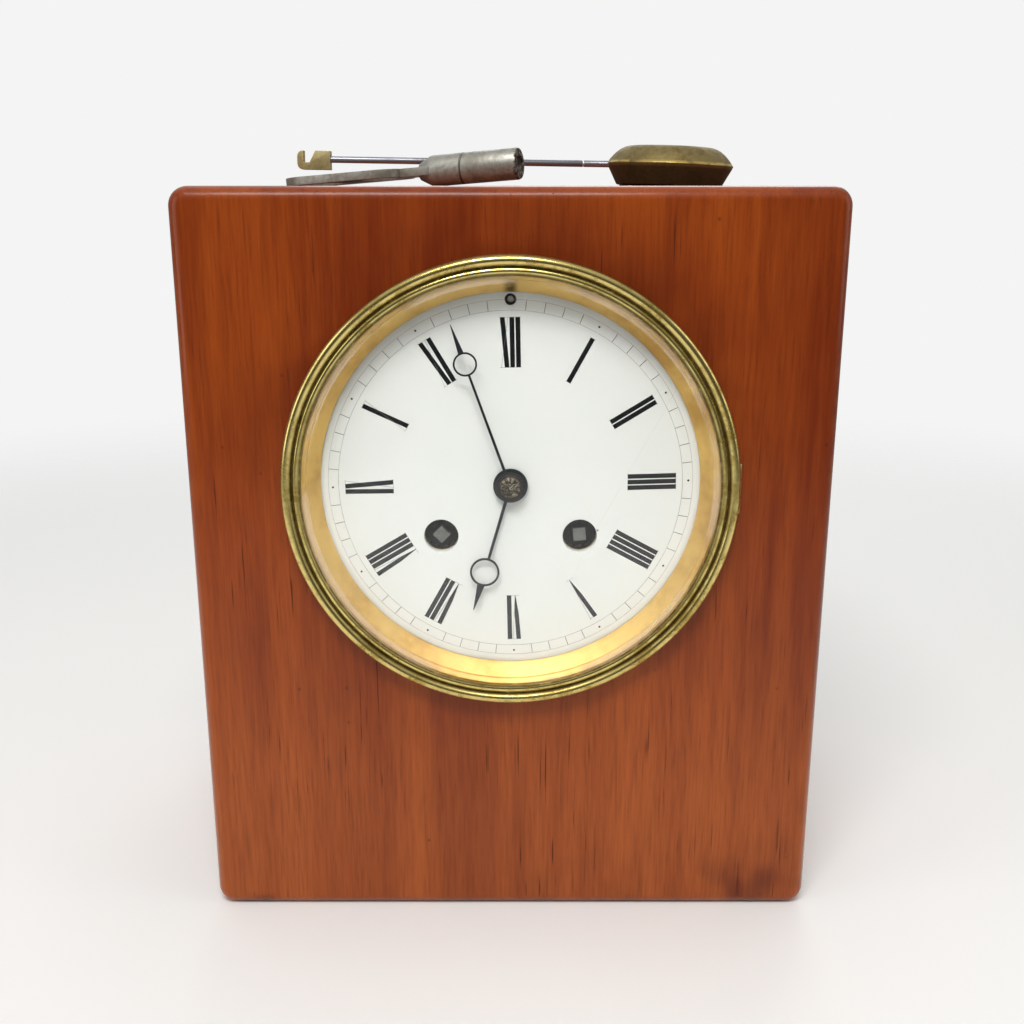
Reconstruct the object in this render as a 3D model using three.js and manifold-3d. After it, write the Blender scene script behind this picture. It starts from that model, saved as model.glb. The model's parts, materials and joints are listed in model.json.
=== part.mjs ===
// Mantel clock: timber case, hinged bezel, enamel dial, twin-barrel pendulum movement,
// with its loose pendulum and winding key lying on the top board.
// Millimetres, +Z up, the dial faces -Y, the origin is the middle of the case's underside.

import * as THREE from 'three';
import { mergeVertices } from 'three/addons/utils/BufferGeometryUtils.js';
import Module from 'manifold-3d';

const wasm = await Module();
wasm.setup();

// ---------------------------------------------------------------- driving dimensions

// Case
const caseWidth = 170;
const caseHeight = 201;
const caseDepth = 115;
const caseCornerRadius = 5;
const caseEdgeRoundover = 3.5;
const frontBoardThickness = 12;
const sideBoardThickness = 10;
const topBoardThickness = 10;
const bottomBoardThickness = 12;
const backBoardThickness = 8;
const dialBelowTop = 76;

// Dial and bezel. Heights are measured forward from the case's front face.
const dialRadius = 50;
const dialUnderRing = 1.5;
const dialEdgeHeight = -4.5;
const dialDome = 1.3;
const dialThickness = 1.7;
const dialPlateThickness = 1;
const windingHoleRadius = 4.6;
const windingHoleX = 18.5;
const windingHoleZ = -14.15;
const regulatorHoleRadius = 1.5;
const regulatorInset = 1.8;
const ringClearance = 0.4;
const sightRingWidth = 5.4;
const dialRingWall = 1;
const dialRingFlange = 1.4;
const dialRingFlangeHeight = 0.9;
const bezelHeight = 4.5;
const bezelSkirtWall = 1.4;
const glassThickness = 1.5;
const glassBackHeight = 1.9;
const sightRingWall = 0.55;
const bezelHingeRadius = 1.1;
const bezelHingePinRadius = 0.45;
const bezelHingeHeight = 1.2;
const bezelKnuckleLength = 4.5;

// Hands
const hourHandLength = 36.1;
const hourRingDistance = 24.9;
const hourRingRadius = 3.9;
const hourHubRadius = 4.57;
const hourHandAngle = 196.15;
const hourHandHeight = -2.3;
const minuteHandLength = 44.9;
const minuteRingDistance = 34.2;
const minuteRingRadius = 3.1;
const minuteHubRadius = 3.85;
const minuteHandAngle = -19.8;
const minuteHandHeight = -0.6;
const handThickness = 0.5;
const colletRadius = 3.4;
const colletHeight = 0.9;

// Movement
const plateRadius = 42;
const plateThickness = 1.6;
const plateSpacing = 32;
const dialToPlate = 7.8;
const pivotClearance = 0.25;
const runningClearance = 0.1;
const pillarRadius = 3;
const barrelDrumRadius = 15.6;
const barrelWall = 1;
const barrelDrumLength = 16;
const wheelThickness = 1;
const windingArborRadius = 2.2;
const windingSquare = 3.4;
const bellRadius = 32;
const bellDepth = 18;
const bellWall = 1.4;
const suspensionOffset = 14.3;

// Pendulum and key
const bobRadius = 18.5;
const bobThickness = 11;
const pendulumRodRadius = 0.95;
const pendulumRodLength = 85;
const pendulumHookLength = 9.7;
const rodInsideBob = 22;
const keyBarrelRadius = 4.15;
const keyBarrelLength = 25;
const keyBowLength = 41;
const keyBowWidth = 19;
const keyBowThickness = 2.2;
const restGap = 0.3;
const ringSegments = 32;

// ---------------------------------------------------------------- worked-out places

const caseFront = -caseDepth / 2;
const caseBack = caseDepth / 2;
const dialHeight = caseHeight - dialBelowTop;
const halfTurn = Math.PI;
const degree = Math.PI / 180;

// Depth (world y) of a height in front of the case's front face.
const atHeight = (height) => caseFront - height;

const enamelRadius = dialRadius + dialUnderRing;
const dialBackHeight = dialEdgeHeight - dialThickness;
const dialPlateBackHeight = dialBackHeight - dialPlateThickness;
const glassRadius = dialRadius + sightRingWidth;
const ringInnerRadius = dialRadius + sightRingWidth;
const ringOuterRadius = ringInnerRadius + dialRingWall;
const ringFlangeRadius = ringOuterRadius + dialRingFlange;
const frontHoleRadius = ringOuterRadius + ringClearance;
const bezelInnerRadius = glassRadius + 0.3;
const bezelOuterRadius = ringFlangeRadius + 0.5 + bezelSkirtWall;
const bezelHingeX = bezelOuterRadius - 0.6;
const strapRadius = dialRadius - 0.5;
const strapAngle = -20 * degree;
const strapScrewRadius = 1.3;

const rearRingWall = 0.8;
const rearRingOuter = enamelRadius + 1.3;
const rearHoleRadius = rearRingOuter + 0.3;
const rearFlangeRadius = rearRingOuter + 4.2;
const rearOpeningRadius = strapRadius - 2.9;
const rearFlangeThickness = 1.2;
const rearFlangeFace = caseBack + rearFlangeThickness;
const rearDoorRadius = rearOpeningRadius - 0.7;
const rearDoorThickness = 1;
const rearHingeRadius = 1.1;
const rearHingePinRadius = 0.5;
const rearHingeX = -rearOpeningRadius - 0.8;
const rearHingeY = rearFlangeFace + 1.4;
const rearKnuckleLength = 5;

const frontPlateFace = atHeight(dialPlateBackHeight) + dialToPlate;
const frontPlateInner = frontPlateFace + plateThickness;
const backPlateInner = frontPlateInner + plateSpacing;
const backPlateFace = backPlateInner + plateThickness;
const regulatorZ = dialRadius - regulatorInset;

// ---------------------------------------------------------------- solids

const weldDistance = 1e-4;

// A closed three.js geometry as a manifold solid with its faces pointing out.
function solid(geometry) {
  const bare = geometry.clone();
  bare.deleteAttribute('normal');
  bare.deleteAttribute('uv');
  const merged = mergeVertices(bare, weldDistance);
  const places = merged.attributes.position.array;
  const index = merged.index.array;
  const triangles = [];
  let volume = 0;
  const a = new THREE.Vector3();
  const b = new THREE.Vector3();
  const c = new THREE.Vector3();
  for (let i = 0; i < index.length; i += 3) {
    const [p, q, r] = [index[i], index[i + 1], index[i + 2]];
    if (p === q || q === r || r === p) {
      continue;
    }
    a.fromArray(places, 3 * p);
    b.fromArray(places, 3 * q);
    c.fromArray(places, 3 * r);
    volume += a.dot(b.cross(c));
    triangles.push(p, q, r);
  }
  if (volume < 0) {
    triangles.reverse();
  }
  const mesh = new wasm.Mesh({
    numProp: 3,
    vertProperties: new Float32Array(places),
    triVerts: new Uint32Array(triangles),
  });
  return new wasm.Manifold(mesh);
}

function geometryOf(shape) {
  const mesh = shape.getMesh();
  const geometry = new THREE.BufferGeometry();
  geometry.setAttribute('position', new THREE.BufferAttribute(new Float32Array(mesh.vertProperties), 3));
  geometry.setIndex(new THREE.BufferAttribute(new Uint32Array(mesh.triVerts), 1));
  geometry.computeVertexNormals();
  return geometry;
}

function join(...shapes) {
  return shapes.reduce((whole, next) => whole.add(next));
}

function cut(shape, ...tools) {
  return tools.reduce((rest, tool) => rest.subtract(tool), shape);
}

// A box from one corner to the other, each as [x, y, z].
function box(low, high) {
  const size = high.map((value, axis) => value - low[axis]);
  const geometry = new THREE.BoxGeometry(...size);
  geometry.translate(...low.map((value, axis) => value + size[axis] / 2));
  return solid(geometry);
}

// A closed profile of [radius, y] points spun about the Y axis at (x, z).
function spun(profile, segments, x = 0, z = 0) {
  const points = profile.map(([radius, y]) => new THREE.Vector2(radius, y));
  const onAxis = profile[0][0] === 0 && profile[profile.length - 1][0] === 0;
  if (!onAxis) {
    points.push(points[0].clone());
  }
  const geometry = new THREE.LatheGeometry(points, segments);
  geometry.translate(x, 0, z);
  return solid(geometry);
}

// A rod along Y from y0 to y1 at (x, z).
function rod(radius, y0, y1, x = 0, z = 0, segments = 12) {
  return spun([[0, y0], [radius, y0], [radius, y1], [0, y1]], segments, x, z);
}

// A flat shape drawn in x and z, extruded along Y from y0 to y1.
function plateOf(shape, y0, y1, curveSegments = 12) {
  const geometry = new THREE.ExtrudeGeometry(shape, { depth: y1 - y0, bevelEnabled: false, curveSegments });
  geometry.rotateX(halfTurn / 2);
  geometry.translate(0, y1, 0);
  return solid(geometry);
}

// A rod along X or Z between two values, centred on the other two.
function rodAlong(axis, radius, from, to, centre, segments = 12) {
  const geometry = new THREE.CylinderGeometry(radius, radius, to - from, segments);
  if (axis === 'x') {
    geometry.rotateZ(halfTurn / 2);
    geometry.translate((from + to) / 2, centre[0], centre[1]);
  } else {
    geometry.rotateX(halfTurn / 2);
    geometry.translate(centre[0], centre[1], (from + to) / 2);
  }
  return solid(geometry);
}

const polar = (radius, angle) => [radius * Math.cos(angle), radius * Math.sin(angle)];

function turnedAboutY(shape, angle) {
  return shape.rotate([0, -angle / degree, 0]);
}

// ---------------------------------------------------------------- nodes

const materials = {
  wood: { color: 0x8b3f16, roughness: 0.35, metalness: 0 },
  innerWood: { color: 0x7a4a28, roughness: 0.7, metalness: 0 },
  brass: { color: 0xa98f4e, roughness: 0.35, metalness: 1 },
  gilt: { color: 0xc9a35a, roughness: 0.3, metalness: 1 },
  steel: { color: 0x8d8f92, roughness: 0.35, metalness: 1 },
  blued: { color: 0x202428, roughness: 0.4, metalness: 1 },
  enamel: { color: 0xe8eae6, roughness: 0.2, metalness: 0 },
  glass: { color: 0xdfe8e6, roughness: 0.05, metalness: 0 },
  bellMetal: { color: 0xb9a66a, roughness: 0.3, metalness: 1 },
};

const clock = new THREE.Group();
const movement = new THREE.Group();
movement.position.z = dialHeight;
clock.add(movement);

function addNode(parent, name, shape, material, x = 0, z = 0) {
  const mesh = new THREE.Mesh(geometryOf(shape), new THREE.MeshStandardMaterial(materials[material]));
  mesh.name = name;
  mesh.position.set(x, 0, z);
  parent.add(mesh);
}

// ---------------------------------------------------------------- case

// The whole case as one rounded block, from which each board takes its share.
function caseBlock() {
  const halfWidth = caseWidth / 2;
  const shape = new THREE.Shape();
  shape.moveTo(-halfWidth + caseCornerRadius, 0);
  shape.lineTo(halfWidth - caseCornerRadius, 0);
  const right = halfWidth - caseCornerRadius;
  const low = caseCornerRadius;
  const high = caseHeight - caseCornerRadius;
  shape.absarc(right, low, caseCornerRadius, -halfTurn / 2, 0);
  shape.absarc(right, high, caseCornerRadius, 0, halfTurn / 2);
  shape.absarc(-right, high, caseCornerRadius, halfTurn / 2, halfTurn);
  shape.absarc(-right, low, caseCornerRadius, halfTurn, 1.5 * halfTurn);
  const geometry = new THREE.ExtrudeGeometry(shape, {
    depth: caseDepth - 2 * caseEdgeRoundover,
    bevelSize: caseEdgeRoundover,
    bevelThickness: caseEdgeRoundover,
    bevelOffset: -caseEdgeRoundover,
    bevelSegments: 3,
    curveSegments: 4,
  });
  geometry.rotateX(halfTurn / 2);
  geometry.translate(0, caseBack - caseEdgeRoundover, 0);
  return solid(geometry);
}

function addCase() {
  const block = caseBlock();
  const halfWidth = caseWidth / 2;
  const innerX = halfWidth - sideBoardThickness;
  const frontInner = caseFront + frontBoardThickness;
  const backInner = caseBack - backBoardThickness;
  const topUnder = caseHeight - topBoardThickness;
  const share = (low, high) => block.intersect(box(low, high));
  const front = share([-halfWidth, caseFront, 0], [halfWidth, frontInner, caseHeight]);
  const frontHole = rod(frontHoleRadius, caseFront - 1, frontInner + 1, 0, dialHeight, ringSegments);
  const back = box([-innerX, backInner, bottomBoardThickness], [innerX, caseBack, topUnder]);
  const backHole = rod(rearHoleRadius, backInner - 1, caseBack + 1, 0, dialHeight, ringSegments);
  addNode(clock, 'front_board', cut(front, frontHole), 'wood');
  addNode(
    clock, 'top_board',
    share([-halfWidth, frontInner, topUnder], [halfWidth, caseBack, caseHeight]), 'wood',
  );
  addNode(
    clock, 'bottom_board',
    share([-halfWidth, frontInner, 0], [halfWidth, caseBack, bottomBoardThickness]), 'wood',
  );
  addNode(
    clock, 'left_side_board',
    share([-halfWidth, frontInner, bottomBoardThickness], [-innerX, caseBack, topUnder]), 'wood',
  );
  addNode(
    clock, 'right_side_board',
    share([innerX, frontInner, bottomBoardThickness], [halfWidth, caseBack, topUnder]), 'wood',
  );
  addNode(clock, 'back_board', cut(back, backHole), 'innerWood');
}

// ---------------------------------------------------------------- rear ring and door

// Three knuckles on a vertical hinge line: the middle one, or the outer two.
function knuckles(radius, boreRadius, length, x, y, middle) {
  const gap = 0.2;
  const spans = middle
    ? [[-length / 2, length / 2]]
    : [[-1.5 * length, -length / 2 - gap], [length / 2 + gap, 1.5 * length]];
  const shapes = spans.map(([low, high]) => {
    const barrel = rodAlong('z', radius, low, high, [x, y], 16);
    return cut(barrel, rodAlong('z', boreRadius, low - 1, high + 1, [x, y], 12));
  });
  return join(...shapes);
}

function addRear() {
  const segments = 32;
  const pinClearance = 0.12;
  const bore = rearHingePinRadius + pinClearance;
  const sleeveInner = rearRingOuter - rearRingWall;
  const ring = spun([
    [rearOpeningRadius, caseBack],
    [sleeveInner, caseBack],
    [sleeveInner, caseBack - backBoardThickness],
    [rearRingOuter, caseBack - backBoardThickness],
    [rearRingOuter, caseBack],
    [rearFlangeRadius, caseBack],
    [rearFlangeRadius, rearFlangeFace],
    [rearOpeningRadius, rearFlangeFace],
  ], segments);
  const leafHalf = rearKnuckleLength / 2;
  const ringLeaf = box(
    [rearHingeX - 2.6, rearFlangeFace - 0.4, -leafHalf],
    [rearHingeX, rearHingeY - 0.7, leafHalf],
  );
  const middle = knuckles(rearHingeRadius, bore, rearKnuckleLength, rearHingeX, rearHingeY, true);
  const pinReach = 2 * rearKnuckleLength;
  const pinWay = rodAlong('z', bore, -pinReach, pinReach, [rearHingeX, rearHingeY]);
  const straps = strapPlaces().map(
    ([x, z]) => rod(strapScrewRadius + 0.3, caseBack - 1, rearFlangeFace + 1, x, z),
  );
  addNode(movement, 'rear_ring', cut(join(ring, cut(ringLeaf, pinWay), middle), ...straps), 'brass');

  const doorBack = rearFlangeFace + 0.7;
  const doorFront = doorBack - rearDoorThickness;
  const door = rod(rearDoorRadius, doorFront, doorBack, 0, 0, segments);
  const outer = knuckles(rearHingeRadius, bore, rearKnuckleLength, rearHingeX, rearHingeY, false);
  const leaves = [-1, 1].map((side) => {
    const near = side * (leafHalf + 0.2);
    const far = side * 3 * leafHalf;
    const leaf = box(
      [rearHingeX + 0.2, rearFlangeFace + 0.2, Math.min(near, far)],
      [rearHingeX + 5, rearHingeY - 0.2, Math.max(near, far)],
    );
    return cut(leaf, pinWay);
  });
  const knob = spun([
    [0, doorBack - 0.2],
    [1.4, doorBack - 0.2],
    [1.4, doorBack + 1.6],
    [3.2, doorBack + 2.2],
    [3.2, doorBack + 3.8],
    [2.4, doorBack + 4.4],
    [0, doorBack + 4.4],
  ], 16, rearDoorRadius - 6, 0);
  addNode(movement, 'rear_door', join(door, ...leaves, outer, knob), 'brass');
  const pinHalf = 1.5 * rearKnuckleLength + 0.5;
  addNode(
    movement, 'rear_door_hinge_pin',
    rodAlong('z', rearHingePinRadius, -pinHalf, pinHalf, [rearHingeX, rearHingeY]), 'steel',
  );
}

function strapPlaces() {
  const [x, z] = polar(strapRadius, strapAngle);
  return [[-x, z], [x, z]];
}

function addStrapScrews() {
  const [left, right] = strapPlaces();
  const tip = atHeight(dialPlateBackHeight) + 0.8;
  const headSeat = rearFlangeFace;
  const profile = [
    [0, tip],
    [strapScrewRadius, tip],
    [strapScrewRadius, headSeat],
    [2.7, headSeat],
    [2.7, headSeat + 1.4],
    [2.1, headSeat + 1.8],
    [0, headSeat + 1.8],
  ];
  const slot = box([-3.2, headSeat + 1.1, -0.35], [3.2, headSeat + 2.5, 0.35]);
  const screw = cut(spun(profile, 12), slot);
  addNode(movement, 'strap_screw_left', screw, 'steel', ...left);
  addNode(movement, 'strap_screw_right', screw, 'steel', ...right);
}

// ---------------------------------------------------------------- dial ring, bezel and glass

function addDialRing() {
  const back = atHeight(-frontBoardThickness) - 0.8;
  const flangeFace = atHeight(dialRingFlangeHeight);
  const ring = spun([
    [ringInnerRadius, flangeFace],
    [ringFlangeRadius, flangeFace],
    [ringFlangeRadius, caseFront],
    [ringOuterRadius, caseFront],
    [ringOuterRadius, back],
    [ringInnerRadius, back],
  ], ringSegments);
  const lugFront = atHeight(dialPlateBackHeight);
  const lugBack = lugFront + 3;
  const lugWidth = 7;
  const lugs = strapPlaces().map(([x, z]) => {
    const lug = box(
      [strapRadius - 3, lugFront, -lugWidth / 2],
      [ringInnerRadius + 0.5, lugBack, lugWidth / 2],
    );
    const angle = Math.atan2(z, x);
    return cut(turnedAboutY(lug, angle), rod(strapScrewRadius + 0.2, lugFront - 1, lugBack + 1, x, z));
  });
  const hingeY = atHeight(bezelHingeHeight);
  const leafHalf = bezelKnuckleLength / 2;
  const bore = bezelHingePinRadius + 0.12;
  const leaf = box(
    [ringFlangeRadius - 1, flangeFace, -leafHalf],
    [bezelHingeX, caseFront - 0.1, leafHalf],
  );
  const knuckle = knuckles(bezelHingeRadius, bore, bezelKnuckleLength, bezelHingeX, hingeY, true);
  const pinWay = rodAlong('z', bore, -bezelKnuckleLength, bezelKnuckleLength, [bezelHingeX, hingeY]);
  addNode(movement, 'dial_ring', cut(join(ring, ...lugs, leaf, knuckle), pinWay), 'brass');
}

// The bezel's moulded section as [radius, height] points, from the skirt's foot round to the glass rebate.
function bezelProfile() {
  const outer = bezelOuterRadius;
  const lip = glassRadius - 0.85;
  const skirtInner = outer - bezelSkirtWall;
  const foot = 0.35;
  const seat = dialRingFlangeHeight + 0.4;
  const underLip = glassBackHeight + glassThickness + 0.05;
  return [
    [skirtInner, foot],
    [outer - 0.4, foot],
    [outer, 1.2],
    [outer, 2.6],
    [outer - 0.45, 3.9],
    [outer - 1.4, bezelHeight],
    [outer - 2.8, 3.3],
    [outer - 4.0, 3.9],
    [lip, 3.65],
    [lip, underLip],
    [bezelInnerRadius, underLip],
    [bezelInnerRadius, seat],
    [skirtInner, seat],
  ];
}

function addBezel() {
  const hingeY = atHeight(bezelHingeHeight);
  const bore = bezelHingePinRadius + 0.12;
  const leafHalf = bezelKnuckleLength / 2;
  const reach = 1.5 * bezelKnuckleLength;
  const ring = spun(bezelProfile().map(([radius, height]) => [radius, atHeight(height)]), ringSegments);
  const wayHalf = leafHalf + 0.3;
  const knuckleWay = rodAlong('z', bezelHingeRadius + 0.6, -wayHalf, wayHalf, [bezelHingeX, hingeY], 20);
  const pinWay = rodAlong('z', bore, -2 * reach, 2 * reach, [bezelHingeX, hingeY]);
  const outer = knuckles(bezelHingeRadius, bore, bezelKnuckleLength, bezelHingeX, hingeY, false);
  addNode(movement, 'bezel_ring', join(cut(ring, knuckleWay, pinWay), outer), 'brass');
  addNode(
    movement, 'bezel_hinge_pin',
    rodAlong('z', bezelHingePinRadius, -reach + 0.2, reach - 0.2, [bezelHingeX, hingeY]), 'steel',
  );

  const glassBack = atHeight(glassBackHeight);
  const glassFace = atHeight(glassBackHeight + glassThickness);
  const bevelWidth = 3;
  const bevelDrop = 0.6;
  const glass = spun([
    [0, glassBack],
    [glassRadius, glassBack],
    [glassRadius, glassFace + bevelDrop],
    [glassRadius - bevelWidth, glassFace],
    [0, glassFace],
  ], ringSegments);
  addNode(movement, 'bezel_glass', glass, 'glass');

  const rimTop = glassBackHeight - 0.05;
  const rimUnder = rimTop - 0.5;
  const rimOuter = bezelInnerRadius - 0.05;
  const coneTop = glassRadius - 1;
  const coneFoot = dialRadius + 0.1;
  const footHeight = dialEdgeHeight + 0.4;
  const sight = spun([
    [coneTop, atHeight(rimTop)],
    [rimOuter, atHeight(rimTop)],
    [rimOuter, atHeight(rimUnder)],
    [coneTop + sightRingWall, atHeight(rimUnder)],
    [coneFoot + sightRingWall, atHeight(footHeight)],
    [coneFoot, atHeight(footHeight)],
  ], ringSegments);
  addNode(movement, 'sight_ring', sight, 'gilt');
}

function addDial() {
  const centreHole = 3.6;
  const domeSteps = 3;
  const back = atHeight(dialBackHeight);
  const profile = [[centreHole, back], [enamelRadius, back]];
  for (let step = 0; step <= domeSteps; step += 1) {
    const radius = enamelRadius + (centreHole - enamelRadius) * (step / domeSteps);
    const height = dialEdgeHeight + dialDome * (1 - (radius / enamelRadius) ** 2);
    profile.push([radius, atHeight(height)]);
  }
  const front = atHeight(0);
  const plateBack = atHeight(dialPlateBackHeight);
  const windingHoles = [-windingHoleX, windingHoleX].map(
    (x) => rod(windingHoleRadius, front, plateBack + 1, x, windingHoleZ, 16),
  );
  const regulatorHole = rod(regulatorHoleRadius, front, plateBack + 1, 0, regulatorZ);
  const enamel = cut(spun(profile, ringSegments), ...windingHoles, regulatorHole);
  addNode(movement, 'enamel_dial', enamel, 'enamel');

  const plate = spun([
    [centreHole, plateBack],
    [ringInnerRadius - 0.5, plateBack],
    [ringInnerRadius - 0.5, back],
    [centreHole, back],
  ], ringSegments);
  const feet = dialFeet.map(([x, z]) => rod(1.5, back, frontPlateFace, x, z, 8));
  addNode(movement, 'dial_plate', cut(join(plate, ...feet), ...windingHoles, regulatorHole), 'brass');
}

const dialFeet = [[30, 14], [-30, 14], [0, -34]];

// ---------------------------------------------------------------- gears

// A wheel's outline with pointed teeth and an optional set of crossings, drawn in x and z.
function gearShape(teeth, module, phase, crossings = null) {
  const pitchRadius = teeth * module / 2;
  const root = pitchRadius - 1.15 * module;
  const tip = pitchRadius + 0.72 * module;
  const pitch = 2 * halfTurn / teeth;
  const shape = new THREE.Shape();
  for (let tooth = 0; tooth < teeth; tooth += 1) {
    const angle = phase + tooth * pitch;
    const points = [polar(tip, angle), polar(root, angle + pitch / 2)];
    points.forEach(([x, z], step) => {
      if (tooth === 0 && step === 0) {
        shape.moveTo(x, z);
      } else {
        shape.lineTo(x, z);
      }
    });
  }
  shape.closePath();
  if (crossings) {
    const { hub, rim, arms, armWidth } = crossings;
    shape.holes.push(...crossingHoles(hub, root - rim, arms, armWidth));
  }
  return shape;
}

function crossingHoles(hub, rim, arms, armWidth) {
  const holes = [];
  const steps = 2;
  for (let arm = 0; arm < arms; arm += 1) {
    const start = 2 * halfTurn * arm / arms;
    const end = 2 * halfTurn * (arm + 1) / arms;
    const hole = new THREE.Path();
    const outerInset = armWidth / 2 / rim;
    const innerInset = armWidth / 2 / hub;
    for (let step = 0; step <= steps; step += 1) {
      const angle = start + outerInset + (end - start - 2 * outerInset) * step / steps;
      const [x, z] = polar(rim, angle);
      if (step === 0) {
        hole.moveTo(x, z);
      } else {
        hole.lineTo(x, z);
      }
    }
    [end - innerInset, start + innerInset].forEach((angle) => {
      hole.lineTo(...polar(hub, angle));
    });
    hole.closePath();
    holes.push(hole);
  }
  return holes;
}

// The point at one distance from a first centre and another from a second,
// on the left of the line between them.
function meetingPoint([x0, z0], distance0, [x1, z1], distance1) {
  const span = Math.hypot(x1 - x0, z1 - z0);
  const along = (distance0 ** 2 - distance1 ** 2 + span ** 2) / (2 * span);
  const aside = Math.sqrt(distance0 ** 2 - along ** 2);
  const [ux, uz] = [(x1 - x0) / span, (z1 - z0) / span];
  return [x0 + along * ux - aside * uz, z0 + along * uz + aside * ux];
}

const offset = ([x, z], distance, angle) => [
  x + distance * Math.cos(angle),
  z + distance * Math.sin(angle),
];
const bearing = ([x0, z0], [x1, z1]) => Math.atan2(z1 - z0, x1 - x0);
const centreDistance = (mesh) => (mesh.wheel + mesh.pinion) * mesh.module / 2;

// Tooth counts and modules of each meshing pair.
const meshes = {
  barrel: { wheel: 56, pinion: 8, module: 0.615 },
  intermediate: { wheel: 48, pinion: 8, module: 0.461 },
  centre: { wheel: 60, pinion: 6, module: 0.373 },
  third: { wheel: 72, pinion: 6, module: 0.28 },
  second: { wheel: 48, pinion: 8, module: 0.461 },
  pinWheel: { wheel: 48, pinion: 6, module: 0.367 },
  warning: { wheel: 42, pinion: 6, module: 0.292 },
  minute: { wheel: 24, pinion: 8, module: 0.6 },
  hour: { wheel: 32, pinion: 8, module: 0.48 },
};

const escapeTeeth = 42;
const escapeRadius = 8.5;
const palletDistance = 12;

// Arbor centres, seen from the front, from the dial's centre.
const arbors = { centre: [0, 0] };
arbors.goingBarrel = [windingHoleX, windingHoleZ];
arbors.strikeBarrel = [-windingHoleX, windingHoleZ];
arbors.intermediate = meetingPoint(
  arbors.centre, centreDistance(meshes.intermediate), arbors.goingBarrel, centreDistance(meshes.barrel),
);
arbors.third = offset(arbors.centre, centreDistance(meshes.centre), 80 * degree);
arbors.escape = [
  0,
  arbors.third[1] + Math.sqrt(centreDistance(meshes.third) ** 2 - arbors.third[0] ** 2),
];
arbors.pallet = [0, arbors.escape[1] + palletDistance];
arbors.second = [-arbors.intermediate[0], arbors.intermediate[1]];
arbors.pinWheel = offset(arbors.second, centreDistance(meshes.second), 100 * degree);
arbors.warning = offset(arbors.pinWheel, centreDistance(meshes.pinWheel), 60 * degree);
arbors.fly = offset(arbors.warning, centreDistance(meshes.warning), 120 * degree);
arbors.minute = [0, -centreDistance(meshes.minute)];
arbors.hammer = [-30, 6];

// Depths behind the front plate's inner face.
const layers = {
  drum: 1.5,
  barrelWheel: 1.5 + barrelDrumLength,
  intermediateWheel: 21,
  centreWheel: 23.6,
  thirdWheel: 13,
  escapeWheel: 29,
  secondWheel: 26,
  pinWheel: 18.2,
  warningWheel: 22,
};
const barrelWheelThickness = 1.6;
const pinionOverlap = 0.9;

// An arbor with a pivot at each end that runs in the two plates.
function arborRod(radius, pivotRadius, extraBack = 0) {
  const shoulder = 0.4;
  return spun([
    [0, frontPlateFace],
    [pivotRadius, frontPlateFace],
    [pivotRadius, frontPlateInner + shoulder],
    [radius, frontPlateInner + shoulder],
    [radius, backPlateInner - shoulder],
    [pivotRadius, backPlateInner - shoulder],
    [pivotRadius, backPlateFace + extraBack],
    [0, backPlateFace + extraBack],
  ], 8);
}

function wheelAt(mesh, phase, depth, thickness, crossings) {
  const y0 = frontPlateInner + depth;
  return plateOf(gearShape(mesh.wheel, mesh.module, phase, crossings), y0, y0 + thickness);
}

// A pinion's leaves stand a little past both faces of the wheel that drives it.
function pinionAt(mesh, phase, depth, thickness) {
  const y0 = frontPlateInner + depth - pinionOverlap;
  return plateOf(gearShape(mesh.pinion, mesh.module, phase), y0, y0 + thickness + 2 * pinionOverlap);
}

// The pinion has a gap where the wheel has a tooth on the line of centres.
function pinionPhase(mesh, wheelPlace, pinionPlace) {
  return bearing(pinionPlace, wheelPlace) + halfTurn / mesh.pinion;
}

const crossed = (hub, rim) => ({ hub, rim, arms: 4, armWidth: 1.6 });

function spiralSpring() {
  const turns = 3;
  const stepsPerTurn = 12;
  const inner = windingArborRadius + 1.2;
  const outer = barrelDrumRadius - barrelWall - 0.4;
  const stripHalf = 0.45;
  const steps = turns * stepsPerTurn;
  const shape = new THREE.Shape();
  const radiusAt = (step) => inner + stripHalf + (outer - inner - 2 * stripHalf) * step / steps;
  for (let step = 0; step <= steps; step += 1) {
    const [x, z] = polar(radiusAt(step) + stripHalf, 2 * halfTurn * step / stepsPerTurn);
    if (step === 0) {
      shape.moveTo(x, z);
    } else {
      shape.lineTo(x, z);
    }
  }
  for (let step = steps; step >= 0; step -= 1) {
    shape.lineTo(...polar(radiusAt(step) - stripHalf, 2 * halfTurn * step / stepsPerTurn));
  }
  shape.closePath();
  const y0 = frontPlateInner + layers.drum + barrelWall + 0.6;
  const y1 = frontPlateInner + layers.barrelWheel - 0.6;
  return plateOf(shape, y0, y1);
}

function barrel(pinionPlace, place) {
  const hole = windingArborRadius + 0.3;
  const drumFront = frontPlateInner + layers.drum;
  const drumBack = frontPlateInner + layers.barrelWheel;
  const drum = spun([
    [hole, drumFront],
    [barrelDrumRadius, drumFront],
    [barrelDrumRadius, drumBack + 0.2],
    [barrelDrumRadius - barrelWall, drumBack + 0.2],
    [barrelDrumRadius - barrelWall, drumFront + barrelWall],
    [hole, drumFront + barrelWall],
  ], 24);
  const { barrelWheel } = layers;
  const wheel = wheelAt(meshes.barrel, bearing(place, pinionPlace), barrelWheel, barrelWheelThickness);
  const bore = rod(hole, drumBack - 1, drumBack + 4);
  return join(drum, cut(wheel, bore));
}

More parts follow.
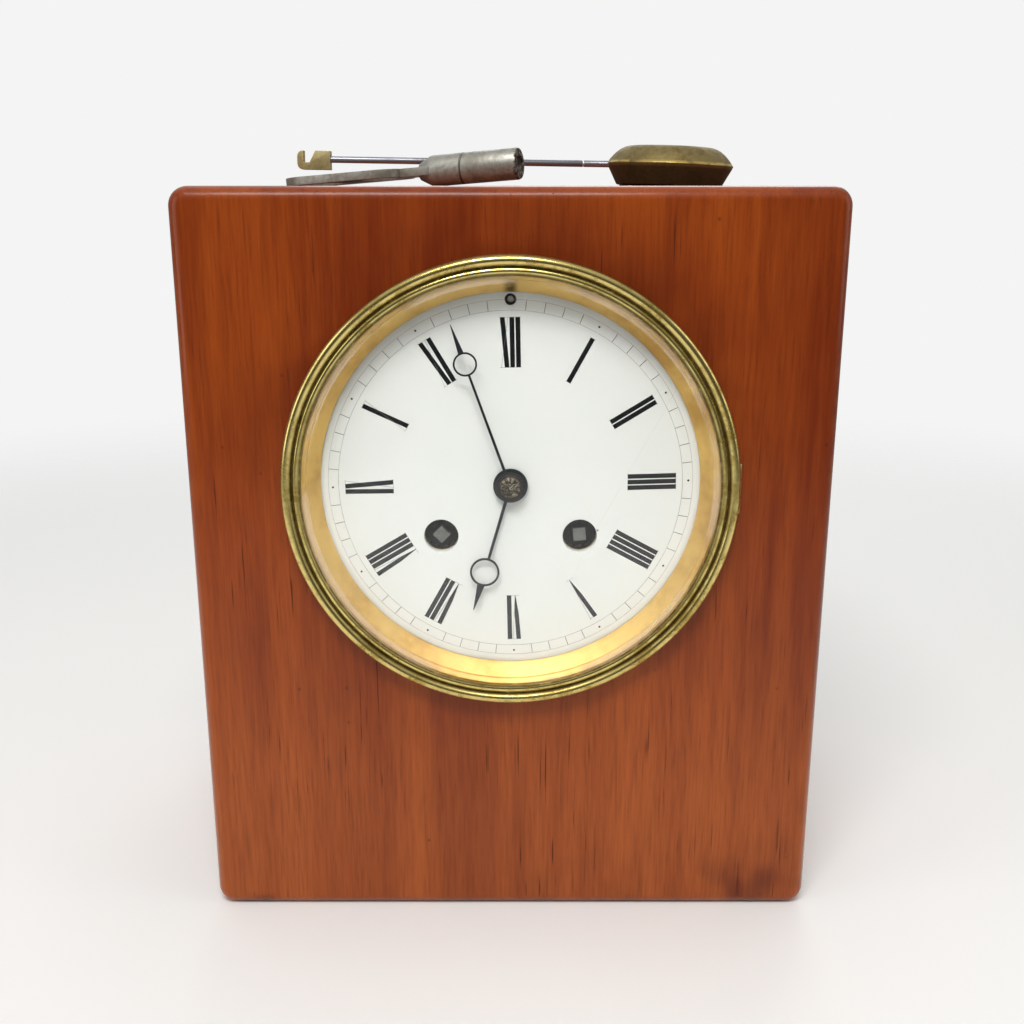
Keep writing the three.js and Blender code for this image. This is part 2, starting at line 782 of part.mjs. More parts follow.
// A ratchet wheel with slanted teeth and the square that takes the key.
function windingArbor(squareAngle) {
  const ratchetRadius = 6;
  const ratchetTeeth = 14;
  const ratchetFace = frontPlateFace - 2;
  const squareFront = atHeight(dialEdgeHeight - 0.5);
  const body = spun([
    [0, ratchetFace],
    [windingArborRadius, ratchetFace],
    [windingArborRadius, backPlateInner - 0.4],
    [1.3, backPlateInner - 0.4],
    [1.3, backPlateFace],
    [0, backPlateFace],
  ], 12);
  const half = windingSquare / 2;
  const square = box([-half, squareFront, -half], [half, ratchetFace + 0.2, half]);
  const shape = new THREE.Shape();
  for (let tooth = 0; tooth < ratchetTeeth; tooth += 1) {
    const angle = -2 * halfTurn * tooth / ratchetTeeth;
    const [x0, z0] = polar(ratchetRadius, angle);
    const [x1, z1] = polar(ratchetRadius - 0.8, angle - 0.04);
    if (tooth === 0) {
      shape.moveTo(x0, z0);
    } else {
      shape.lineTo(x0, z0);
    }
    shape.lineTo(x1, z1);
  }
  shape.closePath();
  const ratchet = plateOf(shape, ratchetFace, ratchetFace + 1.3);
  return join(body, turnedAboutY(square, squareAngle), ratchet);
}

function addGoingTrain() {
  const { goingBarrel, intermediate, centre, third, escape } = arbors;
  addNode(movement, 'going_barrel', barrel(intermediate, goingBarrel), 'brass', ...goingBarrel);
  addNode(movement, 'going_mainspring', spiralSpring(), 'blued', ...goingBarrel);
  addNode(movement, 'going_winding_arbor', windingArbor(5 * degree), 'steel', ...goingBarrel);

  const intermediateWheel = join(
    arborRod(0.9, 0.6),
    pinionAt(
      meshes.barrel, pinionPhase(meshes.barrel, goingBarrel, intermediate),
      layers.barrelWheel, barrelWheelThickness,
    ),
    wheelAt(
      meshes.intermediate, bearing(intermediate, centre),
      layers.intermediateWheel, wheelThickness, crossed(3.2, 1.6),
    ),
  );
  addNode(movement, 'intermediate_wheel', intermediateWheel, 'brass', ...intermediate);

  const arborFront = atHeight(minuteHandHeight + handThickness / 2 + 0.8);
  const centreArbor = spun([
    [0, arborFront],
    [centreArborRadius, arborFront],
    [centreArborRadius, backPlateInner - 0.4],
    [0.7, backPlateInner - 0.4],
    [0.7, backPlateFace],
    [0, backPlateFace],
  ], 12);
  const centreWheel = join(
    centreArbor,
    pinionAt(
      meshes.intermediate, pinionPhase(meshes.intermediate, intermediate, centre),
      layers.intermediateWheel, wheelThickness,
    ),
    wheelAt(meshes.centre, bearing(centre, third), layers.centreWheel, wheelThickness, crossed(3, 1.6)),
  );
  addNode(movement, 'centre_wheel', centreWheel, 'brass');

  const thirdWheel = join(
    arborRod(0.7, 0.45),
    pinionAt(meshes.centre, pinionPhase(meshes.centre, centre, third), layers.centreWheel, wheelThickness),
    wheelAt(meshes.third, bearing(third, escape), layers.thirdWheel, wheelThickness, crossed(2.8, 1.5)),
  );
  addNode(movement, 'third_wheel', thirdWheel, 'brass', ...third);

  const escapeWheel = join(
    arborRod(0.5, 0.35),
    pinionAt(meshes.third, pinionPhase(meshes.third, third, escape), layers.thirdWheel, wheelThickness),
    escapeDisc(),
  );
  addNode(movement, 'escape_wheel', escapeWheel, 'brass', ...escape);
}

const centreArborRadius = 0.9;

function escapeDisc() {
  const root = escapeRadius - 1.4;
  const shape = new THREE.Shape();
  for (let tooth = 0; tooth < escapeTeeth; tooth += 1) {
    const angle = 2 * halfTurn * tooth / escapeTeeth;
    const points = [polar(escapeRadius, angle), polar(root, angle + 0.04)];
    points.forEach(([x, z], step) => {
      if (tooth === 0 && step === 0) {
        shape.moveTo(x, z);
      } else {
        shape.lineTo(x, z);
      }
    });
  }
  shape.closePath();
  shape.holes.push(...crossingHoles(2.2, root - 1, 4, 1.4));
  const y0 = frontPlateInner + layers.escapeWheel;
  return plateOf(shape, y0, y0 + 0.8);
}

// Recoil anchor over the escape wheel, its arbor, and the crutch behind the back plate.
function addPallets() {
  const y0 = frontPlateInner + layers.escapeWheel - 0.3;
  const y1 = y0 + 1.4;
  const span = 4.2;
  const drop = palletDistance - escapeRadius * 0.86;
  const shape = new THREE.Shape();
  shape.moveTo(-1.6, 1.2);
  shape.lineTo(1.6, 1.2);
  shape.lineTo(span + 1.6, -drop + 1.5);
  shape.lineTo(span + 1.2, -drop + 0.6);
  shape.lineTo(span + 0.4, -drop + 1.3);
  shape.lineTo(1.4, -1.4);
  shape.lineTo(-1.4, -1.4);
  shape.lineTo(-span - 0.4, -drop + 1.3);
  shape.lineTo(-span - 1.2, -drop + 0.6);
  shape.lineTo(-span - 1.6, -drop + 1.5);
  shape.closePath();
  const arborBack = cockBack - 0.2;
  const crutchHub = cockBack + 0.4;
  const arbor = spun([
    [0, frontPlateFace],
    [0.4, frontPlateFace],
    [0.4, frontPlateInner + 0.4],
    [0.6, frontPlateInner + 0.4],
    [0.6, arborBack],
    [0.6, crutchHub + 1.6],
    [0, crutchHub + 1.6],
  ], 10);
  const hub = rod(1.9, crutchHub, crutchHub + 1.6, 0, 0, 16);
  const crutchLength = 27;
  const stem = box([-0.7, crutchHub + 0.2, -crutchLength], [0.7, crutchHub + 1.4, -1]);
  const forkY = suspensionY + 1.8;
  const prongs = [-1, 1].map((side) => {
    const inner = side * (pendulumRodRadius + 0.35);
    const outer = side * (pendulumRodRadius + 1.15);
    return box(
      [Math.min(inner, outer), crutchHub + 0.2, -crutchLength],
      [Math.max(inner, outer), forkY, -crutchLength + 1.6],
    );
  });
  const bridge = box(
    [-pendulumRodRadius - 1.15, crutchHub + 0.2, -crutchLength],
    [pendulumRodRadius + 1.15, crutchHub + 1.4, -crutchLength + 1.6],
  );
  const pallets = join(plateOf(shape, y0, y1), arbor, hub, stem, bridge, ...prongs);
  addNode(movement, 'pallets_and_crutch', pallets, 'steel', ...arbors.pallet);
}

// ---------------------------------------------------------------- strike train

function addStrikeTrain() {
  const { strikeBarrel, second, pinWheel, warning, fly } = arbors;
  addNode(movement, 'strike_barrel', barrel(second, strikeBarrel), 'brass', ...strikeBarrel);
  addNode(movement, 'strike_mainspring', spiralSpring(), 'blued', ...strikeBarrel);
  addNode(movement, 'strike_winding_arbor', windingArbor(45 * degree), 'steel', ...strikeBarrel);

  const secondWheel = join(
    arborRod(0.9, 0.6),
    pinionAt(
      meshes.barrel, pinionPhase(meshes.barrel, strikeBarrel, second),
      layers.barrelWheel, barrelWheelThickness,
    ),
    wheelAt(
      meshes.second, bearing(second, pinWheel),
      layers.secondWheel, wheelThickness, crossed(3.2, 1.6),
    ),
  );
  addNode(movement, 'strike_second_wheel', secondWheel, 'brass', ...second);

  const pinCircle = 7.4;
  const pinCount = 10;
  const pinsFace = frontPlateInner + layers.pinWheel + wheelThickness;
  const pins = [];
  for (let pin = 0; pin < pinCount; pin += 1) {
    const [x, z] = polar(pinCircle, 2 * halfTurn * pin / pinCount);
    pins.push(rod(0.4, pinsFace - 0.3, pinsFace + 1.8, x, z, 6));
  }
  const pinWheelShape = join(
    arborRod(0.8, 0.5),
    pinionAt(
      meshes.second, pinionPhase(meshes.second, second, pinWheel),
      layers.secondWheel, wheelThickness,
    ),
    wheelAt(
      meshes.pinWheel, bearing(pinWheel, warning),
      layers.pinWheel, wheelThickness, crossed(2.6, 2.6),
    ),
    ...pins,
  );
  addNode(movement, 'pin_wheel', pinWheelShape, 'brass', ...pinWheel);

  const warningWheel = join(
    arborRod(0.5, 0.35),
    pinionAt(
      meshes.pinWheel, pinionPhase(meshes.pinWheel, pinWheel, warning),
      layers.pinWheel, wheelThickness,
    ),
    wheelAt(
      meshes.warning, bearing(warning, fly),
      layers.warningWheel, wheelThickness, crossed(1.9, 1.2),
    ),
  );
  addNode(movement, 'warning_wheel', warningWheel, 'brass', ...warning);

  const vaneRadius = 6;
  const vaneFront = frontPlateInner + 4;
  const flyShape = join(
    arborRod(0.45, 0.3),
    pinionAt(
      meshes.warning, pinionPhase(meshes.warning, warning, fly),
      layers.warningWheel, wheelThickness,
    ),
    box([-vaneRadius, vaneFront, -0.25], [vaneRadius, vaneFront + 11, 0.25]),
  );
  addNode(movement, 'fly', flyShape, 'brass', ...fly);
}

// ---------------------------------------------------------------- plates and pillars

const pillars = [[-12, -36.5], [12, -36.5], [33, 19], [-33, 19]];
const minutePostRadius = 0.8;
const spigotRadius = 1.5;

function addPlates() {
  const holes = [
    [arbors.goingBarrel, windingArborRadius, 1.3],
    [arbors.strikeBarrel, windingArborRadius, 1.3],
    [arbors.centre, centreArborRadius, 0.7],
    [arbors.intermediate, 0.6, 0.6],
    [arbors.second, 0.6, 0.6],
    [arbors.third, 0.45, 0.45],
    [arbors.escape, 0.35, 0.35],
    [arbors.pallet, 0.4, 2.2],
    [arbors.pinWheel, 0.5, 0.5],
    [arbors.warning, 0.35, 0.35],
    [arbors.fly, 0.3, 0.3],
    [arbors.hammer, 0.5, 0.8],
    ...pillars.map((place) => [place, spigotRadius, spigotRadius]),
  ];
  const drilled = (y0, y1, column) => {
    const disc = rod(plateRadius, y0, y1, 0, 0, ringSegments);
    const tools = holes.map((hole) => {
      const [place, ...radii] = hole;
      return rod(radii[column] + pivotClearance, y0 - 1, y1 + 1, ...place, 8);
    });
    return cut(disc, ...tools);
  };
  const post = rod(minutePostRadius, frontPlateFace - 5.2, frontPlateFace + 0.2, ...arbors.minute);
  addNode(movement, 'front_plate', join(drilled(frontPlateFace, frontPlateInner, 0), post), 'brass');
  addNode(movement, 'back_plate', drilled(backPlateInner, backPlateFace, 1), 'brass');
  const names = ['lower_left', 'lower_right', 'upper_right', 'upper_left'];
  const pillar = spun([
    [0, frontPlateFace],
    [spigotRadius, frontPlateFace],
    [spigotRadius, frontPlateInner],
    [pillarRadius, frontPlateInner],
    [pillarRadius, backPlateInner],
    [spigotRadius, backPlateInner],
    [spigotRadius, backPlateFace + 1.2],
    [0, backPlateFace + 1.2],
  ], 10);
  pillars.forEach((place, index) => {
    addNode(movement, `pillar_${names[index]}`, pillar, 'brass', ...place);
  });
}

// ---------------------------------------------------------------- motion work and hands

const cannonBore = centreArborRadius + runningClearance;
const cannonRadius = 1.9;
const cannonNeckRadius = 1.45;
const hourPipeBore = cannonRadius + 0.15;
const hourPipeRadius = hourPipeBore + 0.6;

function addMotionWork() {
  const cannonBack = frontPlateFace - 0.5;
  const minuteWheelDepth = frontPlateFace - 2.2;
  const handBack = atHeight(minuteHandHeight - handThickness / 2);
  const handFace = atHeight(minuteHandHeight + handThickness / 2);
  const pipe = spun([
    [cannonBore, cannonBack],
    [cannonRadius, cannonBack],
    [cannonRadius, handBack],
    [cannonNeckRadius, handBack],
    [cannonNeckRadius, handFace - 0.5],
    [cannonBore, handFace - 0.5],
  ], 16);
  const toMinute = bearing(arbors.centre, arbors.minute);
  const fromMinute = bearing(arbors.minute, arbors.centre);
  const cannonPhase = toMinute + halfTurn / meshes.minute.pinion;
  const minutePinionPhase = fromMinute + halfTurn / meshes.hour.pinion;
  const cannonGear = cut(
    plateOf(
      gearShape(meshes.minute.pinion, meshes.minute.module, cannonPhase),
      minuteWheelDepth - 0.4,
      cannonBack,
    ),
    rod(cannonBore, minuteWheelDepth - 2, cannonBack + 1),
  );
  addNode(movement, 'cannon_pinion', join(pipe, cannonGear), 'steel');

  const hourDepth = minuteWheelDepth - 2.2;
  const minuteGear = join(
    plateOf(
      gearShape(meshes.minute.wheel, meshes.minute.module, fromMinute),
      minuteWheelDepth,
      minuteWheelDepth + wheelThickness,
    ),
    plateOf(
      gearShape(meshes.hour.pinion, meshes.hour.module, minutePinionPhase),
      hourDepth - 0.3,
      minuteWheelDepth + 0.2,
    ),
  );
  const minuteBore = rod(minutePostRadius + runningClearance, hourDepth - 2, frontPlateFace);
  addNode(movement, 'minute_wheel', cut(minuteGear, minuteBore), 'brass', ...arbors.minute);

  const hourHandFace = atHeight(hourHandHeight + handThickness / 2);
  const hourPipe = spun([
    [hourPipeBore, hourDepth + wheelThickness],
    [hourPipeRadius, hourDepth + wheelThickness],
    [hourPipeRadius, hourHandFace - 0.2],
    [hourPipeBore, hourHandFace - 0.2],
  ], 16);
  const hourGear = cut(
    plateOf(
      gearShape(meshes.hour.wheel, meshes.hour.module, bearing(arbors.centre, arbors.minute)),
      hourDepth,
      hourDepth + wheelThickness,
    ),
    rod(hourPipeBore, hourDepth - 1, hourDepth + 2, 0, 0, 16),
  );
  addNode(movement, 'hour_wheel', join(hourPipe, hourGear), 'brass');
}

// A moon hand pointing up: hub, tapering stem, pierced ring and fine tip.
function moonHand(size, boreRadius, height) {
  const y0 = atHeight(height + handThickness / 2);
  const y1 = atHeight(height - handThickness / 2);
  const shape = new THREE.Shape();
  const tipStart = size.ringDistance + size.ringRadius - 0.6;
  shape.moveTo(-size.stemFoot, 0);
  shape.lineTo(-size.stemTop, size.ringDistance - size.ringRadius + 0.5);
  shape.lineTo(size.stemTop, size.ringDistance - size.ringRadius + 0.5);
  shape.lineTo(size.stemFoot, 0);
  shape.closePath();
  const tip = new THREE.Shape();
  tip.moveTo(-size.tipFoot, tipStart);
  tip.lineTo(-0.15, size.length);
  tip.lineTo(0.15, size.length);
  tip.lineTo(size.tipFoot, tipStart);
  tip.closePath();
  const ring = rod(size.ringRadius, y0, y1, 0, size.ringDistance, 16);
  const eye = rod(size.eyeRadius, y0 - 1, y1 + 1, 0, size.ringDistance + size.eyeShift, 12);
  const hub = rod(size.hubRadius, y0, y1, 0, 0, 16);
  const bore = rod(boreRadius, y0 - 1, y1 + 1, 0, 0, 16);
  return cut(join(plateOf(shape, y0, y1), plateOf(tip, y0, y1), cut(ring, eye), hub), bore);
}

function addHands() {
  const hourHand = moonHand({
    length: hourHandLength,
    ringDistance: hourRingDistance,
    ringRadius: hourRingRadius,
    hubRadius: hourHubRadius,
    eyeRadius: 3.4,
    eyeShift: 0.05,
    stemFoot: 0.45,
    stemTop: 0.36,
    tipFoot: 1.1,
  }, hourPipeRadius + 0.05, hourHandHeight);
  addNode(movement, 'hour_hand', turnedAboutY(hourHand, -hourHandAngle * degree), 'blued');
  const minuteHand = moonHand({
    length: minuteHandLength,
    ringDistance: minuteRingDistance,
    ringRadius: minuteRingRadius,
    hubRadius: minuteHubRadius,
    eyeRadius: 2.65,
    eyeShift: 0.05,
    stemFoot: 0.42,
    stemTop: 0.3,
    tipFoot: 0.75,
  }, cannonNeckRadius + 0.05, minuteHandHeight);
  addNode(movement, 'minute_hand', turnedAboutY(minuteHand, -minuteHandAngle * degree), 'blued');
  const seat = atHeight(minuteHandHeight + handThickness / 2);
  const collet = spun([
    [cannonNeckRadius + 0.05, seat],
    [colletRadius, seat],
    [colletRadius * 0.92, seat - colletHeight * 0.45],
    [colletRadius * 0.7, seat - colletHeight * 0.8],
    [cannonNeckRadius + 0.05, seat - colletHeight],
  ], 16);
  addNode(movement, 'hand_collet', collet, 'brass');
}

// ---------------------------------------------------------------- cock, suspension and regulator

const cockThickness = 2;
const cockFront = backPlateFace + 4.4;
const cockBack = cockFront + cockThickness;
const suspensionY = backPlateFace + suspensionOffset;
const regulatorScrewY = backPlateFace + 9.9;
const regulatorRodRadius = 0.85;

function addSuspension() {
  const palletZ = arbors.pallet[1];
  const postHalf = 5;
  const bridgeHalf = 14;
  const footHalf = 2;
  const bracketTop = regulatorZ + 5;
  const bracketBack = suspensionY + 3;
  const bridge = box([-bridgeHalf, cockFront, palletZ - 3], [bridgeHalf, cockBack, palletZ + 3]);
  const feet = [-1, 1].map((side) => box(
    [side * (bridgeHalf - footHalf) - footHalf, backPlateFace, palletZ - 3],
    [side * (bridgeHalf - footHalf) + footHalf, cockFront, palletZ + 3],
  ));
  const post = box([-postHalf, cockFront, palletZ - 3], [postHalf, cockBack, bracketTop]);
  const topArm = box([-postHalf, cockBack - 0.5, bracketTop - 2], [postHalf, bracketBack, bracketTop]);
  const lowArm = box([-2.4, cockBack - 0.5, palletZ + 2.5], [2.4, regulatorScrewY + 1.6, palletZ + 3.4]);
  const palletHole = rod(0.85, cockFront - 1, cockBack + 1, 0, palletZ);
  const regulatorHole = rod(regulatorRodRadius + 0.2, cockFront - 1, cockBack + 1, 0, regulatorZ);
  const cock = cut(join(bridge, ...feet, post, topArm, lowArm), palletHole, regulatorHole);
  addNode(movement, 'back_cock', cock, 'brass');

  const arborFront = atHeight(dialEdgeHeight - 0.7);
  const contrate = regulatorScrewY - 1.2;
  const regulator = join(
    rod(regulatorRodRadius, arborFront, contrate),
    rod(1.3, cockBack + 0.4, contrate, 0, 0, 12),
  );
  addNode(movement, 'regulator_arbor', regulator, 'steel', 0, regulatorZ);

  const screwFoot = palletZ + 3.7;
  const screwHead = regulatorZ - 1.7;
  const screw = join(
    rodAlong('z', 0.7, screwFoot, screwHead, [0, regulatorScrewY]),
    rodAlong('z', 2, screwHead - 0.8, screwHead, [0, regulatorScrewY], 16),
  );
  addNode(movement, 'regulator_screw', screw, 'steel');

  const sliderLow = palletZ + 5;
  const sliderHigh = screwHead - 2.3;
  const stripHalf = 1.5;
  const sliderHalf = 3.5;
  const sliderBlock = box(
    [-sliderHalf, regulatorScrewY - 1.6, sliderLow],
    [sliderHalf, suspensionY + stripHalf + 1, sliderHigh],
  );
  const stripSlot = box(
    [-0.4, suspensionY - stripHalf - 0.3, sliderLow - 1],
    [0.4, suspensionY + stripHalf + 2, sliderHigh + 1],
  );
  const screwWay = rodAlong('z', 0.9, sliderLow - 1, sliderHigh + 1, [0, regulatorScrewY]);
  addNode(movement, 'regulator_slider', cut(sliderBlock, stripSlot, screwWay), 'brass');

  const springFoot = palletZ - 0.8;
  const chops = box(
    [-1.6, suspensionY - stripHalf - 0.3, bracketTop - 5],
    [1.6, suspensionY + stripHalf, bracketTop - 2],
  );
  const strip = box(
    [-0.12, suspensionY - stripHalf, springFoot],
    [0.12, suspensionY + stripHalf, bracketTop - 4],
  );
  addNode(movement, 'suspension_spring', join(chops, strip), 'steel');

  const blockTop = springFoot - 0.4;
  const block = join(
    box([-1.6, suspensionY - stripHalf, blockTop - 4], [1.6, suspensionY + stripHalf, blockTop]),
    rodAlong('x', 0.6, -3.2, 3.2, [suspensionY, blockTop - 2.4], 8),
  );
  addNode(movement, 'suspension_block', block, 'brass');
}

// ---------------------------------------------------------------- hammer and bell

const bellZ = -8;
const bellMouth = backPlateFace + 23.3;

function addHammerAndBell() {
  const [hammerX, hammerZ] = arbors.hammer;
  const headX = -bellRadius - 0.8 - hammerX;
  const headZ = bellZ - hammerZ;
  const stemY = bellMouth + 3;
  const stemAngle = Math.atan2(headZ, headX - 3);
  const stemLength = Math.hypot(headZ, headX - 3);
  const arbor = spun([
    [0, frontPlateFace],
    [0.5, frontPlateFace],
    [0.5, frontPlateInner + 0.4],
    [0.8, frontPlateInner + 0.4],
    [0.8, stemY + 1.6],
    [0, stemY + 1.6],
  ], 10);
  const stem = turnedAboutY(box([0, stemY - 0.7, -0.7], [stemLength, stemY + 0.7, 0.7]), stemAngle);
  const head = rodAlong('x', 3, headX - 7, headX, [stemY, headZ], 16);
  const tailReach = Math.hypot(arbors.pinWheel[0] - hammerX, arbors.pinWheel[1] - hammerZ) - 8.6;
  const tailAngle = bearing(arbors.hammer, arbors.pinWheel);
  const tailFront = frontPlateInner + layers.pinWheel + wheelThickness + 0.5;
  const tail = turnedAboutY(box([0, tailFront, -0.8], [tailReach, tailFront + 1.2, 0.8]), tailAngle);
  addNode(movement, 'hammer', join(arbor, stem, head, tail), 'steel', hammerX, hammerZ);

  const outerCurve = [];
  const innerCurve = [];
  const curveSteps = 4;
  const boreRadius = 1.6;
  const crownRadius = 4;
  for (let step = 0; step <= curveSteps; step += 1) {
    const angle = (halfTurn / 2) * step / curveSteps;
    const spread = (radius, crown) => crown + (radius - crown) * Math.cos(angle);
    outerCurve.push([spread(bellRadius, crownRadius), bellMouth + bellDepth * Math.sin(angle)]);
    innerCurve.push([
      spread(bellRadius - bellWall, crownRadius), bellMouth + (bellDepth - bellWall) * Math.sin(angle),
    ]);
  }
  const bellProfile = [
    ...outerCurve,
    [boreRadius, bellMouth + bellDepth],
    [boreRadius, bellMouth + bellDepth - bellWall],
    ...innerCurve.reverse(),
  ];
  addNode(movement, 'bell', spun(bellProfile, 24), 'bellMetal', 0, bellZ);

  const crownInner = bellMouth + bellDepth - bellWall;
  const armBack = crownInner - bellDepth / 3;
  const footX = 15;
  const footZ = -12;
  const stand = join(
    rod(3.4, backPlateFace, backPlateFace + 1.4, footX, footZ, 16),
    rod(1.8, backPlateFace, armBack, footX, footZ),
    turnedAboutY(
      box([0, armBack - 2.5, -1.5], [Math.hypot(footX, footZ), armBack, 1.5]),
      Math.atan2(footZ, footX),
    ),
    rod(2.6, armBack - 2.5, crownInner),
    rod(boreRadius - 0.2, crownInner - 1, crownInner + bellWall + 4),
  );
  addNode(movement, 'bell_stand', stand, 'steel', 0, bellZ);
  const nutSeat = crownInner + bellWall;
  const nut = spun([
    [boreRadius, nutSeat],
    [3.4, nutSeat],
    [3.4, nutSeat + 2],
    [2.4, nutSeat + 3],
    [boreRadius, nutSeat + 3],
  ], 16);
  addNode(movement, 'bell_nut', nut, 'brass', 0, bellZ);
}

// ---------------------------------------------------------------- pendulum on the top

const pendulumX = 47;
const pendulumY = 4;
const rodPitch = 0.9 * degree;
const bobPitch = 2.2 * degree;
const bobTopFlat = 13;
const bobBottomFlat = 15.5;
const bobRimAbove = 6;
const clampX = -13.2;
const clampHead = 0.9;

// The rod lies along X with the hook at the left, and rises towards the hook.
function addPendulum() {
  const pendulum = new THREE.Group();
  const lowSide = bobBottomFlat * Math.sin(bobPitch);
  const rimHeight = bobRimAbove * Math.cos(bobPitch) + lowSide;
  pendulum.position.set(pendulumX, pendulumY, caseHeight + restGap + rimHeight);
  clock.add(pendulum);

  const bobGroup = new THREE.Group();
  bobGroup.rotation.y = bobPitch;
  pendulum.add(bobGroup);
  const rimHalf = 0.5;
  const flatsAbove = bobThickness - bobRimAbove;
  const profile = [
    [0, -bobRimAbove],
    [bobBottomFlat, -bobRimAbove],
    [bobRadius, -rimHalf],
    [bobRadius, rimHalf],
    [bobTopFlat, flatsAbove],
    [0, flatsAbove],
  ];
  const points = profile.map(([radius, z]) => new THREE.Vector2(radius, z));
  const lathe = new THREE.LatheGeometry(points, 32);
  lathe.rotateX(halfTurn / 2);
  const rodWayEnd = -bobRadius + rodInsideBob + 1;
  const rodWay = rodAlong('x', pendulumRodRadius + 0.6, -bobRadius - 2, rodWayEnd, [0, 0]);
  const screwWay = rodAlong('z', 1.25, -bobRimAbove - 1, -1.8, [clampX, 0]);
  addNode(bobGroup, 'pendulum_bob', cut(solid(lathe), rodWay, screwWay), 'brass');
  const clampScrew = join(
    rodAlong('z', 0.95, -bobRimAbove - 0.1, -2.1, [clampX, 0]),
    rodAlong('z', 1.35, -bobRimAbove - clampHead, -bobRimAbove - 0.05, [clampX, 0]),
  );
  addNode(bobGroup, 'bob_clamp_screw', clampScrew, 'steel');

  const rodGroup = new THREE.Group();
  rodGroup.rotation.y = rodPitch;
  pendulum.add(rodGroup);
  const rodStart = -bobRadius - pendulumRodLength;
  const rodEnd = -bobRadius + rodInsideBob;
  addNode(rodGroup, 'pendulum_rod', rodAlong('x', pendulumRodRadius, rodStart, rodEnd, [0, 0]), 'steel');
  const hookEnd = rodStart + 3.5;
  const hookStart = hookEnd - pendulumHookLength;
  const hookHalf = 3;
  const hookThickness = 3.4;
  const body = box([hookStart, -hookThickness / 2, -hookHalf], [hookEnd, hookThickness / 2, hookHalf]);
  const notch = box([hookStart + 2, -hookThickness, -0.6], [hookStart + 3.8, hookThickness, hookHalf + 1]);
  const seat = rodAlong('x', pendulumRodRadius + 0.3, rodStart - 0.3, hookEnd + 1, [0, 0]);
  addNode(rodGroup, 'pendulum_hook', cut(body, notch, seat), 'brass');
}

// ---------------------------------------------------------------- winding key on the top

const keyGrooveAt = 9.1;
const keyTipX = 2.6;
const keyTipY = -30;
const keyYaw = -19 * degree;

// The key lies with its socket towards the front right and rests on the far end of its bow.
function addKey() {
  const bowReach = keyBowLength + 3.5;
  const halfBow = keyBowThickness / 2;
  const pitch = Math.atan((keyBarrelRadius - halfBow) / bowReach);
  const heading = new THREE.Group();
  const neckHeight = keyBarrelRadius * Math.cos(pitch);
  heading.position.set(
    keyTipX - keyBarrelLength * Math.cos(keyYaw),
    keyTipY - keyBarrelLength * Math.sin(keyYaw),
    caseHeight + restGap + neckHeight,
  );
  heading.rotation.z = keyYaw;
  clock.add(heading);
  const key = new THREE.Group();
  key.rotation.y = -pitch;
  heading.add(key);

  const grooveRadius = keyBarrelRadius - 0.3;
  const outline = [
    [0, -4],
    [2, -4],
    [keyBarrelRadius, 0],
    [keyBarrelRadius, keyGrooveAt - 0.5],
    [grooveRadius, keyGrooveAt - 0.2],
    [grooveRadius, keyGrooveAt + 0.2],
    [keyBarrelRadius, keyGrooveAt + 0.5],
    [keyBarrelRadius, keyBarrelLength],
    [0, keyBarrelLength],
  ];
  const lathe = new THREE.LatheGeometry(outline.map(([radius, x]) => new THREE.Vector2(radius, x)), 16);
  lathe.rotateZ(-halfTurn / 2);
  const socketHalf = windingSquare / 2 + 0.2;
  const socket = box(
    [keyBarrelLength - 14, -socketHalf, -socketHalf],
    [keyBarrelLength + 1, socketHalf, socketHalf],
  );

  // The plate's outline: a tongue let into the barrel's neck, shoulders and a round far end.
  const bow = new THREE.Shape();
  const left = -bowReach;
  const round = keyBowWidth / 2;
  const tongueEnd = 1;
  const tongueHalf = keyBarrelRadius + 0.45;
  const tongueRound = 1.9;
  const shoulderX = -8;
  const shoulderRound = 5.5;
  bow.moveTo(tongueEnd, -tongueHalf + tongueRound);
  bow.lineTo(tongueEnd, tongueHalf - tongueRound);
  bow.quadraticCurveTo(tongueEnd, tongueHalf, tongueEnd - tongueRound, tongueHalf);
  bow.lineTo(shoulderX, tongueHalf);
  bow.quadraticCurveTo(shoulderX, round, shoulderX - shoulderRound, round);
  bow.lineTo(left + round, round);
  bow.absarc(left + round, 0, round, halfTurn / 2, 1.5 * halfTurn);
  bow.lineTo(shoulderX - shoulderRound, -round);
  bow.quadraticCurveTo(shoulderX, -round, shoulderX, -tongueHalf);
  bow.lineTo(tongueEnd - tongueRound, -tongueHalf);
  bow.quadraticCurveTo(tongueEnd, -tongueHalf, tongueEnd, -tongueHalf + tongueRound);
  const rim = 3.3;
  const eyes = [{ x: -15.6, half: 5.6 }, { x: -34.2, half: 6.4 }];
  eyes.forEach(({ x, half }) => {
    const eye = new THREE.Path();
    eye.absellipse(x, 0, half, round - rim, 0, 2 * halfTurn, true);
    bow.holes.push(eye);
  });
  const geometry = new THREE.ExtrudeGeometry(bow, {
    depth: keyBowThickness,
    bevelEnabled: false,
    curveSegments: 8,
  });
  geometry.translate(0, 0, -halfBow);
  addNode(key, 'winding_key', join(cut(solid(lathe), socket), solid(geometry)), 'steel');
}

addCase();
addDialRing();
addBezel();
addDial();
addHands();
addMotionWork();
addPlates();
addGoingTrain();
addStrikeTrain();
addPallets();
addSuspension();
addHammerAndBell();
addRear();
addStrapScrews();
addPendulum();
addKey();

export default clock;
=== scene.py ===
# %% [markdown]
# # A mantel clock in a plain varnished box
#
# The clock is built around a finished engineering model, called the frame. The frame says
# where every piece sits and what it rides on when a door opens or a hand turns. Here we
# give the clock its looks: rounded timber, turned brass, a fired enamel dial and old steel.
# Everything is in metres, and every place is read from the frame.

# %% Open the frame
import json
import math

